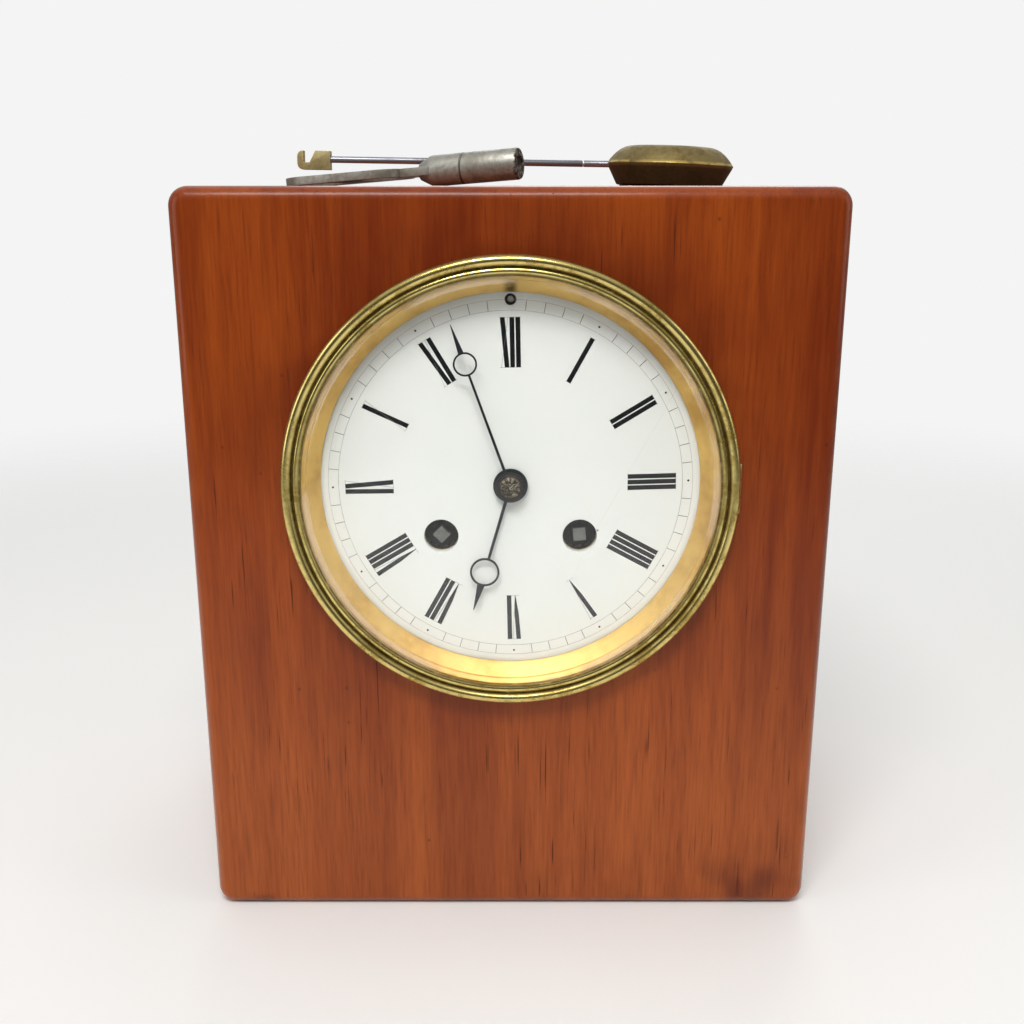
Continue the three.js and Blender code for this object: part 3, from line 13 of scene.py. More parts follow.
import bmesh
import bpy
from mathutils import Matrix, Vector


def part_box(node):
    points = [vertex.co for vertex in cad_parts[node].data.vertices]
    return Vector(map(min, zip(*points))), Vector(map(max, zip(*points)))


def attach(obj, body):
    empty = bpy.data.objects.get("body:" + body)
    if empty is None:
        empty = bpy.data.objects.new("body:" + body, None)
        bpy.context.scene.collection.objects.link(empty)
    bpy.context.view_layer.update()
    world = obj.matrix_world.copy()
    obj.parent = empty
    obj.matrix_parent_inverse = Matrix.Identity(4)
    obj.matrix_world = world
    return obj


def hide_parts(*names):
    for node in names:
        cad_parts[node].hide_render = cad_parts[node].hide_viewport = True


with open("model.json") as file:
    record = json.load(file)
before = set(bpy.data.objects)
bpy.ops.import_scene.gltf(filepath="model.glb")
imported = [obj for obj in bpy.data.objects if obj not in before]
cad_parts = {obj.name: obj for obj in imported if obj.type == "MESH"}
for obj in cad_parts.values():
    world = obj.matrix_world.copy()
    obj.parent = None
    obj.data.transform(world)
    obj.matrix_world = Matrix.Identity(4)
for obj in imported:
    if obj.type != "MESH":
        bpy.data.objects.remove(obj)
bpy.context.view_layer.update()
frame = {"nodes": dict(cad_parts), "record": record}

MM = 0.001
NODES = frame["nodes"]
BODY_OF = {node: body for body, group in frame["record"]["behaviour"]["bodies"].items() for node in group}
SLOT_OF = {row["node"]: row["material_slot"] for row in frame["record"]["subparts"]}

# %% [markdown]
# ## Places that the rest is hung from
#
# A clock is laid out from its dial. The dial's middle gives x and z, and the front face of
# the case gives the depth that heights are counted from: a height of 3 mm means 3 mm in
# front of the wood, and a negative height is inside the case.

# %% Read the main places
CASE_LOW = Vector(map(min, zip(*[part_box(n)[0] for n in ("front_board", "back_board", "bottom_board")])))
CASE_HIGH = Vector(map(max, zip(*[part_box(n)[1] for n in ("front_board", "back_board", "top_board")])))
DIAL_LOW, DIAL_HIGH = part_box("enamel_dial")
DIAL_X = (DIAL_LOW.x + DIAL_HIGH.x) / 2
DIAL_Z = (DIAL_LOW.z + DIAL_HIGH.z) / 2
ENAMEL_RADIUS = (DIAL_HIGH.x - DIAL_LOW.x) / 2
FACE = CASE_LOW.y


def at_height(height_mm):
    """Depth (y) of a height in millimetres in front of the case's front face."""
    return FACE - height_mm * MM


def height_of(depth):
    """Height in millimetres in front of the case's front face of a depth (y)."""
    return (FACE - depth) / MM


print("case", [round(v / MM, 1) for v in CASE_HIGH - CASE_LOW], "mm, dial middle at", round(DIAL_Z / MM, 1))

# %% [markdown]
# ## The camera and the light
#
# The camera comes first, so that every later step can be judged through it. It stands at
# about the height of the case's top and looks a little down, which makes the case seem
# narrower at its foot. The light is what a small white studio has: one large soft lamp
# above, two weak ones at the sides, and a pale table that throws light back up.

# %% Camera
CAMERA_BACK = 345.3 * MM
CAMERA_HEIGHT = 195.8 * MM
CAMERA_SIDE = 0.4 * MM
LOOK_DOWN = math.radians(15.07)
bpy.ops.object.camera_add(
    location=(CAMERA_SIDE, -CAMERA_BACK, CAMERA_HEIGHT),
    rotation=(math.pi / 2 - LOOK_DOWN, 0, 0),
)
camera = bpy.context.object
camera.name = "studio_camera"
camera.data.lens = 39.76
camera.data.sensor_width = 36
camera.data.clip_start = 0.01
bpy.context.scene.camera = camera
print("camera", [round(v, 3) for v in camera.location], "lens", camera.data.lens)


# %% Lamps and world
def soft_lamp(name, place, aim, size, power, colour=(1, 1, 1)):
    """A large square lamp at place, turned to face aim."""
    bpy.ops.object.light_add(type="AREA", location=place)
    lamp = bpy.context.object
    lamp.name = name
    lamp.data.shape = "RECTANGLE"
    lamp.data.size, lamp.data.size_y = size
    lamp.data.energy = power
    lamp.data.color = colour
    lamp.rotation_mode = "QUATERNION"
    lamp.rotation_quaternion = (Vector(aim) - Vector(place)).to_track_quat("-Z", "Y")
    return lamp


CLOCK_MIDDLE = (0, 0, CASE_HIGH.z / 2)
soft_lamp("lamp_above", (-0.08, -0.50, 0.80), CLOCK_MIDDLE, (0.38, 0.22), 4.1, (1.0, 0.985, 0.96))
soft_lamp("lamp_left", (-0.85, -0.45, 0.35), CLOCK_MIDDLE, (0.5, 0.7), 1.9)
soft_lamp("lamp_right", (0.90, -0.25, 0.40), CLOCK_MIDDLE, (0.5, 0.7), 1.3)
soft_lamp("lamp_behind", (0.15, 0.90, 0.75), CLOCK_MIDDLE, (0.8, 0.5), 2.4)

# The camera sees a near-white studio. What lights the clock is bright overhead and behind,
# and dark on the camera's side, so that the varnish isn't veiled by its own reflection.
WORLD_COLOUR = (0.90, 0.905, 0.90, 1)
SEEN_LEVEL = 1.0
ROOM_LEVEL = 0.09
OVERHEAD_LEVEL = 0.47
BEHIND_LEVEL = 0.26
world = bpy.data.worlds.new("studio")
bpy.context.scene.world = world
world.use_nodes = True
background = world.node_tree.nodes["Background"]
background.inputs["Color"].default_value = WORLD_COLOUR
bpy.context.scene.view_settings.view_transform = "Standard"

# %% [markdown]
# ## Shader sums in plain Python
#
# A finish is a small sum: old brass is clean brass, times one minus the dirt, plus the dirt.
# Blender writes such sums as Math nodes. One small class wraps a node's output so that
# Python's own signs add those nodes, and one method makes every other kind of node.


# %% The socket class
class Signal:
    """The output of a shader node, that Python's arithmetic signs work on."""

    def __init__(self, tree, socket):
        self.tree, self.socket = tree, socket

    def make(self, kind, settings=None, out=0, **links):
        """Adds a node of a kind: its settings first, then its sockets by name or s0, s1 for a place."""
        node = self.tree.nodes.new(kind)
        for key, value in (settings or {}).items():
            setattr(node, key, value)
        for key, value in links.items():
            name = key.replace("_", " ")
            socket = node.inputs[int(key[1:])] if key[0] == "s" and key[1:].isdigit() else node.inputs[name]
            if isinstance(value, Signal):
                self.tree.links.new(value.socket, socket)
            else:
                socket.default_value = value
        return Signal(self.tree, node.outputs[out])

    def _math(self, operation, a, b=0.0, clamp=False):
        return self.make("ShaderNodeMath", {"operation": operation, "use_clamp": clamp}, s0=a, s1=b)

    def __add__(self, other):
        return self._math("ADD", self, other)

    __radd__ = __add__

    def __sub__(self, other):
        return self._math("SUBTRACT", self, other)

    def __rsub__(self, other):
        return self._math("SUBTRACT", other, self)

    def __mul__(self, other):
        return self._math("MULTIPLY", self, other)

    __rmul__ = __mul__

    def __truediv__(self, other):
        return self._math("DIVIDE", self, other)

    def __pow__(self, other):
        return self._math("POWER", self, other)

    def least(self, other):
        return self._math("MINIMUM", self, other)

    def most(self, other):
        return self._math("MAXIMUM", self, other)

    def size(self):
        return self._math("ABSOLUTE", self)

    def between(self, low, high):
        """0 below low, 1 above high, and a soft step between."""
        settings = {"interpolation_type": "SMOOTHSTEP"}
        return self.make("ShaderNodeMapRange", settings, s0=self, s1=low, s2=high, s3=0.0, s4=1.0)

    def near(self, value, reach):
        """1 where this is value, falling softly to 0 at reach away."""
        return 1 - (self - value).size().between(0.0, reach)

    def mixed(self, colour_a, colour_b):
        """colour_a where this is 0 and colour_b where it is 1."""
        return self.make("ShaderNodeMix", {"data_type": "RGBA"}, out=2, s0=self, s6=colour_a, s7=colour_b)


print("shader sums are ready")

# %% Light from the room
direction = Signal(world.node_tree, None).make("ShaderNodeTexCoord", out=0)
direction_parts = direction.make("ShaderNodeSeparateXYZ", s0=direction).socket.node.outputs
away = Signal(world.node_tree, direction_parts[1]).between(0.0, 0.9)
up = Signal(world.node_tree, direction_parts[2]).between(0.05, 0.8)
room_light = ROOM_LEVEL + up * OVERHEAD_LEVEL + away * BEHIND_LEVEL
camera_ray = direction.make("ShaderNodeLightPath", out=0)
strength = room_light + (SEEN_LEVEL - room_light) * camera_ray
world.node_tree.links.new(strength.socket, background.inputs["Strength"])
print("room light is ready")


# %% [markdown]
# ### What every finish starts from
#
# Patterns sit on Object coordinates. Every piece's object stays at the origin, so its
# Object coordinates are the clock's own metres: wood grain runs straight through the
# whole case, and a wear mark can be put at a real place. Colours are given as they look
# on a screen and turned into the linear values that shaders use.


# %% Helpers for finishes
def screen(red, green, blue):
    """A colour given as screen values from 0 to 255, as a linear colour with alpha."""

    def linear(value):
        value /= 255
        return value / 12.92 if value <= 0.04045 else ((value + 0.055) / 1.055) ** 2.4

    return (linear(red), linear(green), linear(blue), 1.0)


class Finish:
    """A material with its shader, and the coordinates that patterns are drawn on."""

    def __init__(self, name, **fixed):
        self.material = bpy.data.materials.new(name)
        self.material.use_nodes = True
        self.tree = self.material.node_tree
        self.shader = self.tree.nodes["Principled BSDF"]
        for key, value in fixed.items():
            self.shader.inputs[key.replace("_", " ")].default_value = value
        start = Signal(self.tree, None)
        self.point = start.make("ShaderNodeTexCoord", out=3)
        split = self.point.make("ShaderNodeSeparateXYZ", s0=self.point)
        axes = split.socket.node.outputs
        self.x, self.y, self.z = (Signal(self.tree, axes[i]) for i in range(3))

    def placed(self, scale=(1, 1, 1), place=(0, 0, 0), turn=(0, 0, 0)):
        """The coordinates moved, turned and scaled, to centre or stretch a pattern."""
        settings = {"vector_type": "POINT"}
        return self.point.make(
            "ShaderNodeMapping", settings, s0=self.point, Location=place, Rotation=turn, Scale=scale
        )

    def noise(self, scale, detail=4.0, roughness=0.55, at=None, warp=0.0):
        """Cloudy noise from 0 to 1. scale counts blobs in a metre."""
        return self.point.make(
            "ShaderNodeTexNoise", None, 0,
            Vector=at or self.point, Scale=scale, Detail=detail, Roughness=roughness, Distortion=warp,
        )

    def cells(self, scale, at=None, feature="F1", out=0):
        """Distance to the nearest of many scattered points, for pits and specks."""
        settings = {"feature": feature}
        return self.point.make(
            "ShaderNodeTexVoronoi", settings, out, Vector=at or self.point, Scale=scale
        )

    def from_middle(self, x, z):
        """Distance in metres from a line along y through x, z: the radius on a turned face."""
        across, up = self.x - x, self.z - z
        return self.point._math("SQRT", across * across + up * up)

    def wear(self, **sockets):
        """Feeds values that change over the surface to the shader's own sockets."""
        for key, value in sockets.items():
            self.tree.links.new(value.socket, self.shader.inputs[key.replace("_", " ")])
        return self

    def bump(self, height, depth_mm, strength=1.0):
        """Raises the surface by height times depth_mm, seen in its shading."""
        distance = depth_mm * MM
        node = self.point.make(
            "ShaderNodeBump", None, 0, Strength=strength, Distance=distance, Height=height
        )
        self.tree.links.new(node.socket, self.shader.inputs["Normal"])
        return self


print("finish helpers are ready")
# %% [markdown]
# ## Timber
#
# The case is a close red-brown timber under old varnish. It could be painted as one noise,
# but real boards show three things at different sizes: broad streaks, fine fibres and short
# dark pores. The colour is also darker in patches near the foot, and a painted shade darkens
# the wood round the upper half of the brass. Each is its own pattern, stretched along the
# grain, and they are added up. Inside the case the wood was never varnished, so the same
# boards turn pale and dull there.

# %% Timber finish
SIDE_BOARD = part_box("left_side_board")[1].x - CASE_LOW.x
FLOOR_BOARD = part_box("bottom_board")[1].z
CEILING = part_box("top_board")[0].z
INSIDE_X = CASE_HIGH.x - SIDE_BOARD
SKIN = 0.1 * MM


def timber(name, grain):
    """Varnished boards with their grain along z ("up") or along x ("across")."""
    f = Finish(name, IOR=1.38, Specular_IOR_Level=0.26, Coat_Roughness=0.14, Coat_IOR=1.45)
    stretch = (1, 1, 0.05) if grain == "up" else (0.05, 1, 1)
    along = f.placed(scale=stretch)
    long_pores = f.placed(scale=(1, 1, 0.035) if grain == "up" else (0.035, 1, 1), place=(0.31, 0.17, 0.23))
    broad = f.noise(42, 3, 0.5, along, 0.4)
    streaks = f.noise(210, 5, 0.62, along, 0.2)
    fibres = f.noise(1500, 3, 0.6, along)
    clouds = f.noise(17, 3, 0.5)
    pores = f.noise(1250, 2, 0.45, long_pores).between(0.655, 0.76)
    pore_patches = f.noise(34, 2, 0.5).between(0.36, 0.62)
    pores = pores * pore_patches

    tone = (broad * 0.45 + streaks * 0.35 + clouds * 0.20).between(0.33, 0.66)
    colour = tone.mixed(screen(115, 40, 8), screen(163, 74, 20))
    # Painted reflection: the lower boards, fading out by 118 mm up, get a lighter and paler colour that
    # stands in for the pale table seen in the varnish.
    low = 1 - (f.z * (1 / MM)).between(10, 118)
    colour = (low * 0.80).mixed(colour, tone.mixed(screen(143, 66, 24), screen(176, 92, 38)))
    colour = ((fibres - 0.5) * 0.5 + 0.12).between(0.0, 0.5).mixed(colour, screen(92, 30, 8))
    colour = (pores * 0.72).mixed(colour, screen(38, 14, 6))

    # Painted shade: a darker, redder halo round the upper half of the bezel, broken up by noise.
    radius = f.from_middle(DIAL_X, DIAL_Z) * (1 / MM)
    above = ((f.z - DIAL_Z) * (1 / MM)).between(-30, 45)
    painted_bezel_shade = (1 - radius.between(60, 84)) * above * f.noise(26, 3, 0.6).between(0.30, 0.62)
    colour = (painted_bezel_shade * 0.55).mixed(colour, screen(88, 22, 6))
    # Darker towards the foot, most of all towards the corners, broken up by noise.
    foot = (1 - (f.z * (1 / MM)).between(2, 26)) * f.noise(38, 2, 0.5).between(0.50, 0.66)
    corner = (f.x.size() * (1 / MM)).between(44, 74)
    colour = (foot * (corner * 0.45 + 0.35)).mixed(colour, screen(84, 28, 14))
    spots = f.cells(95).between(0.0, 0.075)
    colour = ((1 - spots) * 0.55).mixed(colour, screen(60, 20, 8))

    edge_x = ((CASE_HIGH.x - f.x.size()) * (1 / MM)).between(0.0, 2.4)
    edge_z = ((CASE_HIGH.z - f.z) * (1 / MM)).between(0.0, 2.0)
    edge_y = ((f.y - CASE_LOW.y) * (1 / MM)).between(0.0, 1.6)
    # The rounded outer edges get a lighter colour that is partly wear and partly a painted highlight where
    # the rounding catches the light. The same mask makes them rougher and less glossy.
    edge_wear_and_sheen = (1 - edge_x.least(edge_z)) * (1 - edge_y * 0.6) * f.noise(190, 4, 0.65).between(0.42, 0.66)
    colour = (edge_wear_and_sheen * 0.38).mixed(colour, screen(190, 118, 66))

    inner_x = (INSIDE_X + SKIN - f.x.size()).between(0.0, SKIN)
    inner_z = (f.z - (FLOOR_BOARD - SKIN)).between(0.0, SKIN) * ((CEILING + SKIN) - f.z).between(0.0, SKIN)
    inner_y = (f.y - (CASE_LOW.y + 1.2 * MM)).between(0.0, 0.4 * MM)
    raw = inner_x * inner_z * inner_y
    raw_colour = tone.mixed(screen(150, 96, 52), screen(184, 130, 78))
    raw_colour = (pores * 0.5).mixed(raw_colour, screen(84, 48, 26))
    colour = raw.mixed(colour, raw_colour)

    cloudy = f.noise(70, 4, 0.6)
    dust = f.noise(2600, 2, 0.5)
    f.wear(
        Base_Color=colour,
        Roughness=(0.30 + cloudy * 0.12 + pores * 0.25 + edge_wear_and_sheen * 0.15).most(raw * 0.8),
        Coat_Weight=(0.24 + (1 - edge_x.least(edge_z)) * 0.66 - edge_wear_and_sheen * 0.2 - pores * 0.2) * (1 - raw),
    )
    height = 0.6 - pores * 0.5 - fibres * 0.08 + f.noise(130, 2, 0.5, along) * 0.16 - dust * 0.03
    return f.bump(height, 0.10)


TIMBER_UP = timber("varnished_timber_up", "up")
TIMBER_ACROSS = timber("varnished_timber_across", "across")
print("timber finishes:", TIMBER_UP.material.name, TIMBER_ACROSS.material.name)

# %% [markdown]
# ### Raw timber for the back
#
# The back board is plainer wood, stained once and never polished: the same patterns, paler
# and dull, with the saw's faint cross marks as a bump.


# %% Raw timber finish
def raw_timber(name):
    f = Finish(name, IOR=1.4)
    along = f.placed(scale=(1, 1, 0.06))
    tone = (f.noise(60, 4, 0.6, along, 0.4) * 0.6 + f.noise(300, 4, 0.6, along) * 0.4).between(0.32, 0.68)
    pores = f.noise(1100, 2, 0.5, along).between(0.62, 0.74)
    colour = tone.mixed(screen(112, 66, 36), screen(158, 104, 62))
    colour = (pores * 0.6).mixed(colour, screen(62, 34, 20))
    stain = f.noise(22, 3, 0.6).between(0.46, 0.7)
    colour = (stain * 0.4).mixed(colour, screen(82, 46, 26))
    saw = f.noise(420, 2, 0.5, f.placed(scale=(0.06, 1, 1)))
    f.wear(Base_Color=colour, Roughness=0.66 + tone * 0.18)
    return f.bump(tone * 0.4 + saw * 0.3 - pores * 0.4, 0.12)


BACK_TIMBER = raw_timber("raw_back_timber")
print("back board finish:", BACK_TIMBER.material.name)

# %% [markdown]
# ## Metals
#
# All the metals are built the same way: a clean metal, a tarnish that gathers in clouds,
# dark specks where it has pitted, and fine turning or rubbing lines. One function makes
# them, told the colours and how much of each. Turned pieces have rings round the dial's
# middle, so their lines are noise read along the radius. Straight pieces read it along
# one axis instead.


# %% Metal finishes
def metal(
    name, clean, tarnish, dirt, tarnished=0.5, pitted=0.4, rough=0.28, lines="round",
    line_depth=0.012, pit_scale=900, centre=None, metallic=1.0, gloss=0.5,
):
    """An aged metal. lines is round, x, y, z or none."""
    f = Finish(name, IOR=1.5, Specular_IOR_Level=gloss, Metallic=metallic)
    clouds = f.noise(150, 5, 0.65, None, 0.3)
    fine = f.noise(900, 4, 0.6)
    patches = (clouds * 0.7 + fine * 0.3).between(0.42, 0.64)
    colour = (patches * tarnished).mixed(clean, tarnish)
    pits = 1 - f.cells(pit_scale).between(0.06, 0.22)
    where = f.noise(240, 3, 0.6).between(0.50, 0.66)
    specks = pits * where
    colour = (specks * pitted).mixed(colour, dirt)
    if lines == "round":
        middle_x, middle_z = centre or (DIAL_X, DIAL_Z)
        across = f.from_middle(middle_x, middle_z)
        ring = f.point.make("ShaderNodeCombineXYZ", None, 0, s0=across, s1=f.y * 0.6)
        grain = f.noise(5200, 3, 0.6, ring)
    elif lines == "none":
        grain = fine
    else:
        scale = {"x": (0.02, 1, 1), "y": (1, 0.02, 1), "z": (1, 1, 0.02)}[lines]
        grain = f.noise(3600, 3, 0.6, f.placed(scale=scale))
    colour = (grain.between(0.35, 0.75) * 0.14).mixed(colour, tarnish)
    f.wear(Base_Color=colour, Roughness=rough + patches * 0.16 + specks * 0.3 + (grain - 0.5) * 0.12)
    f.patches, f.specks, f.grain, f.colour = patches, specks, grain, colour
    return f.bump(0.5 + grain * 0.25 - specks * 0.9 * pitted - patches * 0.08, line_depth)


BRASS = metal(
    "movement_brass_clean", screen(226, 190, 106), screen(178, 132, 62), screen(92, 66, 34),
    tarnished=0.5, pitted=0.3, rough=0.26, lines="z",
)
WHEEL_BRASS = metal(
    "wheel_brass", screen(232, 196, 112), screen(186, 140, 66), screen(84, 60, 30),
    tarnished=0.4, pitted=0.25, rough=0.22, lines="none",
)
RING_BRASS = metal(
    "casing_brass", screen(206, 182, 118), screen(146, 118, 62), screen(70, 54, 32),
    tarnished=0.75, pitted=0.6, rough=0.32,
)
BELL_METAL = metal(
    "bell_metal", screen(196, 176, 128), screen(134, 108, 66), screen(66, 50, 34),
    tarnished=0.7, pitted=0.4, rough=0.24,
)
STEEL = metal(
    "bright_steel", screen(176, 176, 172), screen(120, 114, 104), screen(58, 48, 40),
    tarnished=0.6, pitted=0.5, rough=0.27, lines="y", line_depth=0.006,
)
ROD_STEEL = metal(
    "rod_steel", screen(150, 151, 160), screen(112, 111, 118), screen(70, 62, 60),
    tarnished=0.5, pitted=0.3, rough=0.40, lines="x", line_depth=0.004,
)
KEY_STEEL = metal(
    "key_steel", screen(178, 177, 168), screen(132, 127, 116), screen(62, 54, 44),
    tarnished=0.75, pitted=0.8, rough=0.46, lines="none", line_depth=0.02, pit_scale=700, metallic=0.85,
)
PIN_STEEL = metal(
    "pin_steel", screen(150, 150, 148), screen(92, 86, 78), screen(40, 34, 30),
    tarnished=0.6, pitted=0.5, rough=0.32, lines="z", line_depth=0.004,
)
BOB_BRONZE = metal(
    "bob_bronze", screen(140, 123, 78), screen(104, 89, 52), screen(50, 38, 23),
    tarnished=0.85, pitted=0.6, rough=0.56, lines="none", line_depth=0.02, pit_scale=800, metallic=0.8,
)
METAL_WORDS = ("brass", "steel", "bronze", "metal", "clean")
print("metals:", sum(m.name.endswith(METAL_WORDS) for m in bpy.data.materials))

# %% [markdown]
# ### The bezel's own brass
#
# The bezel is handled every week, so its beads are rubbed bright and its hollows hold a
# hundred years of polish and dirt. The hollows are at known radii, so the dirt is put
# there by radius and broken up with noise, and the speckles follow the outer bead.

# %% Bezel finish
BEZEL_RADIUS = DIAL_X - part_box("bezel_ring")[0].x
BEZEL_MM = BEZEL_RADIUS / MM
bezel_finish = metal(
    "bezel_brass", screen(222, 202, 128), screen(160, 134, 62), screen(64, 50, 28),
    tarnished=0.85, pitted=0.0, rough=0.20, line_depth=0.02,
)
radius_mm = bezel_finish.from_middle(DIAL_X, DIAL_Z) * (1 / MM)
broken = bezel_finish.noise(420, 4, 0.65)
outer_hollow = radius_mm.near(BEZEL_MM - 2.75, 0.75)
foot_hollow = radius_mm.between(BEZEL_MM - 0.42, BEZEL_MM - 0.1)
inner_hollow = 1 - radius_mm.between(BEZEL_MM - 4.95, BEZEL_MM - 4.45)
hollows = (outer_hollow * 0.8 + inner_hollow * 0.9 + foot_hollow * 0.35) * broken.between(0.22, 0.50)
speckle_field = bezel_finish.noise(150, 3, 0.65).between(0.44, 0.62)
speckles = (1 - bezel_finish.cells(1250).between(0.10, 0.30)) * speckle_field
speckles = speckles * radius_mm.near(BEZEL_MM - 1.0, 2.1)
bezel_colour = (hollows * 0.82).mixed(bezel_finish.colour, screen(66, 52, 30))
bezel_colour = (speckles * 0.85).mixed(bezel_colour, screen(60, 48, 28))
bezel_finish.wear(
    Base_Color=bezel_colour,
    Roughness=0.20 + bezel_finish.patches * 0.12 + hollows * 0.35 + speckles * 0.35,
)
bezel_finish.bump(0.6 + bezel_finish.grain * 0.12 - speckles * 0.7 - hollows * 0.3 - broken * 0.12, 0.03)
BEZEL_BRASS = bezel_finish
print("bezel brass for a ring of radius", round(BEZEL_MM, 2), "mm")

# %% [markdown]
# ### Gilt on the sight ring
#
# The slope between glass and dial was gilded and never touched, so it is a softer gold with
# brown tide marks, and one dark blotch above the regulator's hole where oil crept out.

# %% Gilt finish
gilt = Finish("sight_ring_gilt", Metallic=1.0, IOR=1.5)
gilt_radius = gilt.from_middle(DIAL_X, DIAL_Z) * (1 / MM)
tide = gilt.noise(60, 4, 0.6).between(0.40, 0.70)
gilt_clouds = gilt.noise(300, 4, 0.6).between(0.35, 0.75)
gilt_colour = tide.mixed(screen(240, 204, 124), screen(206, 164, 88))
gilt_colour = (gilt_clouds * 0.25).mixed(gilt_colour, screen(228, 190, 124))
oil_x = 1 - ((gilt.x - DIAL_X).size() * (1 / MM)).between(0.2, 2.5)
oil_z = (gilt.z - DIAL_Z).between(0.0, 0.03) * (1 - gilt_radius.between(51.8, 54.0))
oil = oil_x * oil_z * (gilt.noise(500, 3, 0.6) * 0.6 + 0.55).between(0.5, 0.95)
gilt_colour = (oil * 0.85).mixed(gilt_colour, screen(66, 50, 26))
outer_dirt = gilt_radius.between(53.6, 54.6) * gilt.noise(200, 3, 0.6).between(0.35, 0.6)
gilt_colour = (outer_dirt * 0.35).mixed(gilt_colour, screen(150, 104, 52))
gilt_ring = gilt.point.make("ShaderNodeCombineXYZ", None, 0, s0=gilt_radius * MM, s1=gilt.y * 0.5)
gilt_lines = gilt.noise(6500, 2, 0.5, gilt_ring)
gilt.wear(Base_Color=gilt_colour, Roughness=0.50 + tide * 0.10 + oil * 0.25 + (gilt_lines - 0.5) * 0.1)
gilt.bump(0.5 + gilt_lines * 0.3 + gilt_clouds * 0.2, 0.02)
GILT = gilt
print("gilt finish:", GILT.material.name)

# %% [markdown]
# ## Enamel and its ink
#
# Fired enamel is white glass on copper: glossy, very slightly uneven, cool in tone. Age
# gives it hairline cracks. A crack could be cut as geometry, but it has no width to speak
# of, so it is drawn in the colour: a thin dark band along a line between two places on
# the dial, bent a little by noise. The ink was fired on too, with pale worn flecks.


# %% Enamel finish
def crack(f, start, end, bend, width=0.075):
    """A hairline along the line from start to end, both in millimetres from the dial's middle."""
    ax, az = DIAL_X + start[0] * MM, DIAL_Z + start[1] * MM
    bx, bz = DIAL_X + end[0] * MM, DIAL_Z + end[1] * MM
    length = math.hypot(bx - ax, bz - az)
    ux, uz = (bx - ax) / length, (bz - az) / length
    along = (f.x - ax) * ux + (f.z - az) * uz
    wave = (f.noise(70, 3, 0.6) - 0.5) * bend * MM
    off = ((f.z - az) * ux - (f.x - ax) * uz + wave).size()
    line = 1 - off.between(0.0, width * MM)
    inside = along.between(0.0, 2 * MM) * (length - along).between(0.0, 2 * MM)
    return line * inside


enamel = Finish("fired_enamel", IOR=1.5, Coat_Weight=0.35, Coat_Roughness=0.03)
enamel_clouds = enamel.noise(48, 3, 0.5)
enamel_colour = enamel_clouds.mixed(screen(231, 235, 233), screen(238, 240, 236))
CRACKS = (
    ((23.0, -12.5), (43.5, 26.5), 1.6, 0.07),
    ((19.5, -19.0), (12.0, -43.0), 2.4, 0.06),
    ((13.5, -27.0), (4.0, -40.5), 1.2, 0.045),
    ((24.0, -12.0), (38.5, -5.0), 2.0, 0.04),
)
cracks = crack(enamel, *CRACKS[0]) * 0.8
for line in CRACKS[1:]:
    cracks = cracks.most(crack(enamel, *line) * 0.55)
enamel_colour = (cracks * 0.42).mixed(enamel_colour, screen(120, 122, 116))
enamel_radius = enamel.from_middle(DIAL_X, DIAL_Z) * (1 / MM)
yellowed = enamel_radius.between(47.5, 51.5) * enamel.noise(90, 3, 0.6).between(0.35, 0.7)
enamel_colour = (yellowed * 0.25).mixed(enamel_colour, screen(214, 210, 190))
flecks = 1 - enamel.cells(230).between(0.012, 0.04)
enamel_colour = (flecks * 0.5).mixed(enamel_colour, screen(170, 168, 158))
chipped = (1 - enamel.from_middle(DIAL_X + 23.2 * MM, DIAL_Z - 12.6 * MM).between(0.1 * MM, 0.55 * MM))
enamel_colour = (chipped * 0.7).mixed(enamel_colour, screen(96, 88, 76))
enamel.wear(Base_Color=enamel_colour, Roughness=0.13 + enamel_clouds * 0.05 + cracks * 0.3)
enamel.bump(0.5 + enamel.noise(120, 2, 0.5) * 0.25 - cracks * 0.3, 0.05)
ENAMEL = enamel

ink = Finish("fired_ink", IOR=1.5)
ink_wear = ink.noise(1500, 4, 0.7).between(0.62, 0.80)
ink_colour = (ink_wear * 0.25).mixed(screen(14, 15, 18), screen(80, 84, 88))
ink.wear(Base_Color=ink_colour, Roughness=0.22 + ink_wear * 0.4)
ink.bump(ink.noise(900, 3, 0.6), 0.01)
INK = ink

fine_ink = Finish("worn_fine_ink", IOR=1.5)
fine_wear = fine_ink.noise(120, 4, 0.7).between(0.35, 0.70)
fine_colour = fine_wear.mixed(screen(58, 62, 64), screen(150, 154, 154))
fine_ink.wear(Base_Color=fine_colour, Roughness=0.24 + fine_wear * 0.3)
FINE_INK = fine_ink
print("enamel, ink and fine ink are ready, with", len(CRACKS), "cracks")

# %% [markdown]
# ## Blued steel, the worn collet and the glass
#
# The hands were heated until they turned blue, and have gone nearly black. The collet that
# holds them has been rubbed through to brass by every finger that set the time. The glass
# is real glass that lets lamp light straight through, as a thin flat pane does.

# %% Hand, collet and glass finishes
BLUED = metal(
    "blued_steel_old", screen(52, 55, 62), screen(34, 34, 36), screen(74, 60, 48),
    tarnished=0.6, pitted=0.35, rough=0.30, lines="none", line_depth=0.006, pit_scale=1800, metallic=0.85,
)

collet = Finish("worn_collet_brass", Metallic=0.8, IOR=1.5)
collet_radius = collet.from_middle(DIAL_X, DIAL_Z) * (1 / MM)
rub = collet.noise(850, 5, 0.75, None, 1.6)
rubbed_through = rub.between(0.49, 0.58) * (1 - collet_radius.between(2.1, 3.0))
collet_colour = rub.mixed(screen(40, 36, 34), screen(78, 66, 58))
collet_colour = (rubbed_through * 0.85).mixed(collet_colour, screen(190, 182, 156))
collet.wear(Base_Color=collet_colour, Roughness=0.5 - rubbed_through * 0.2)
collet.bump(rub, 0.14)
COLLET = collet

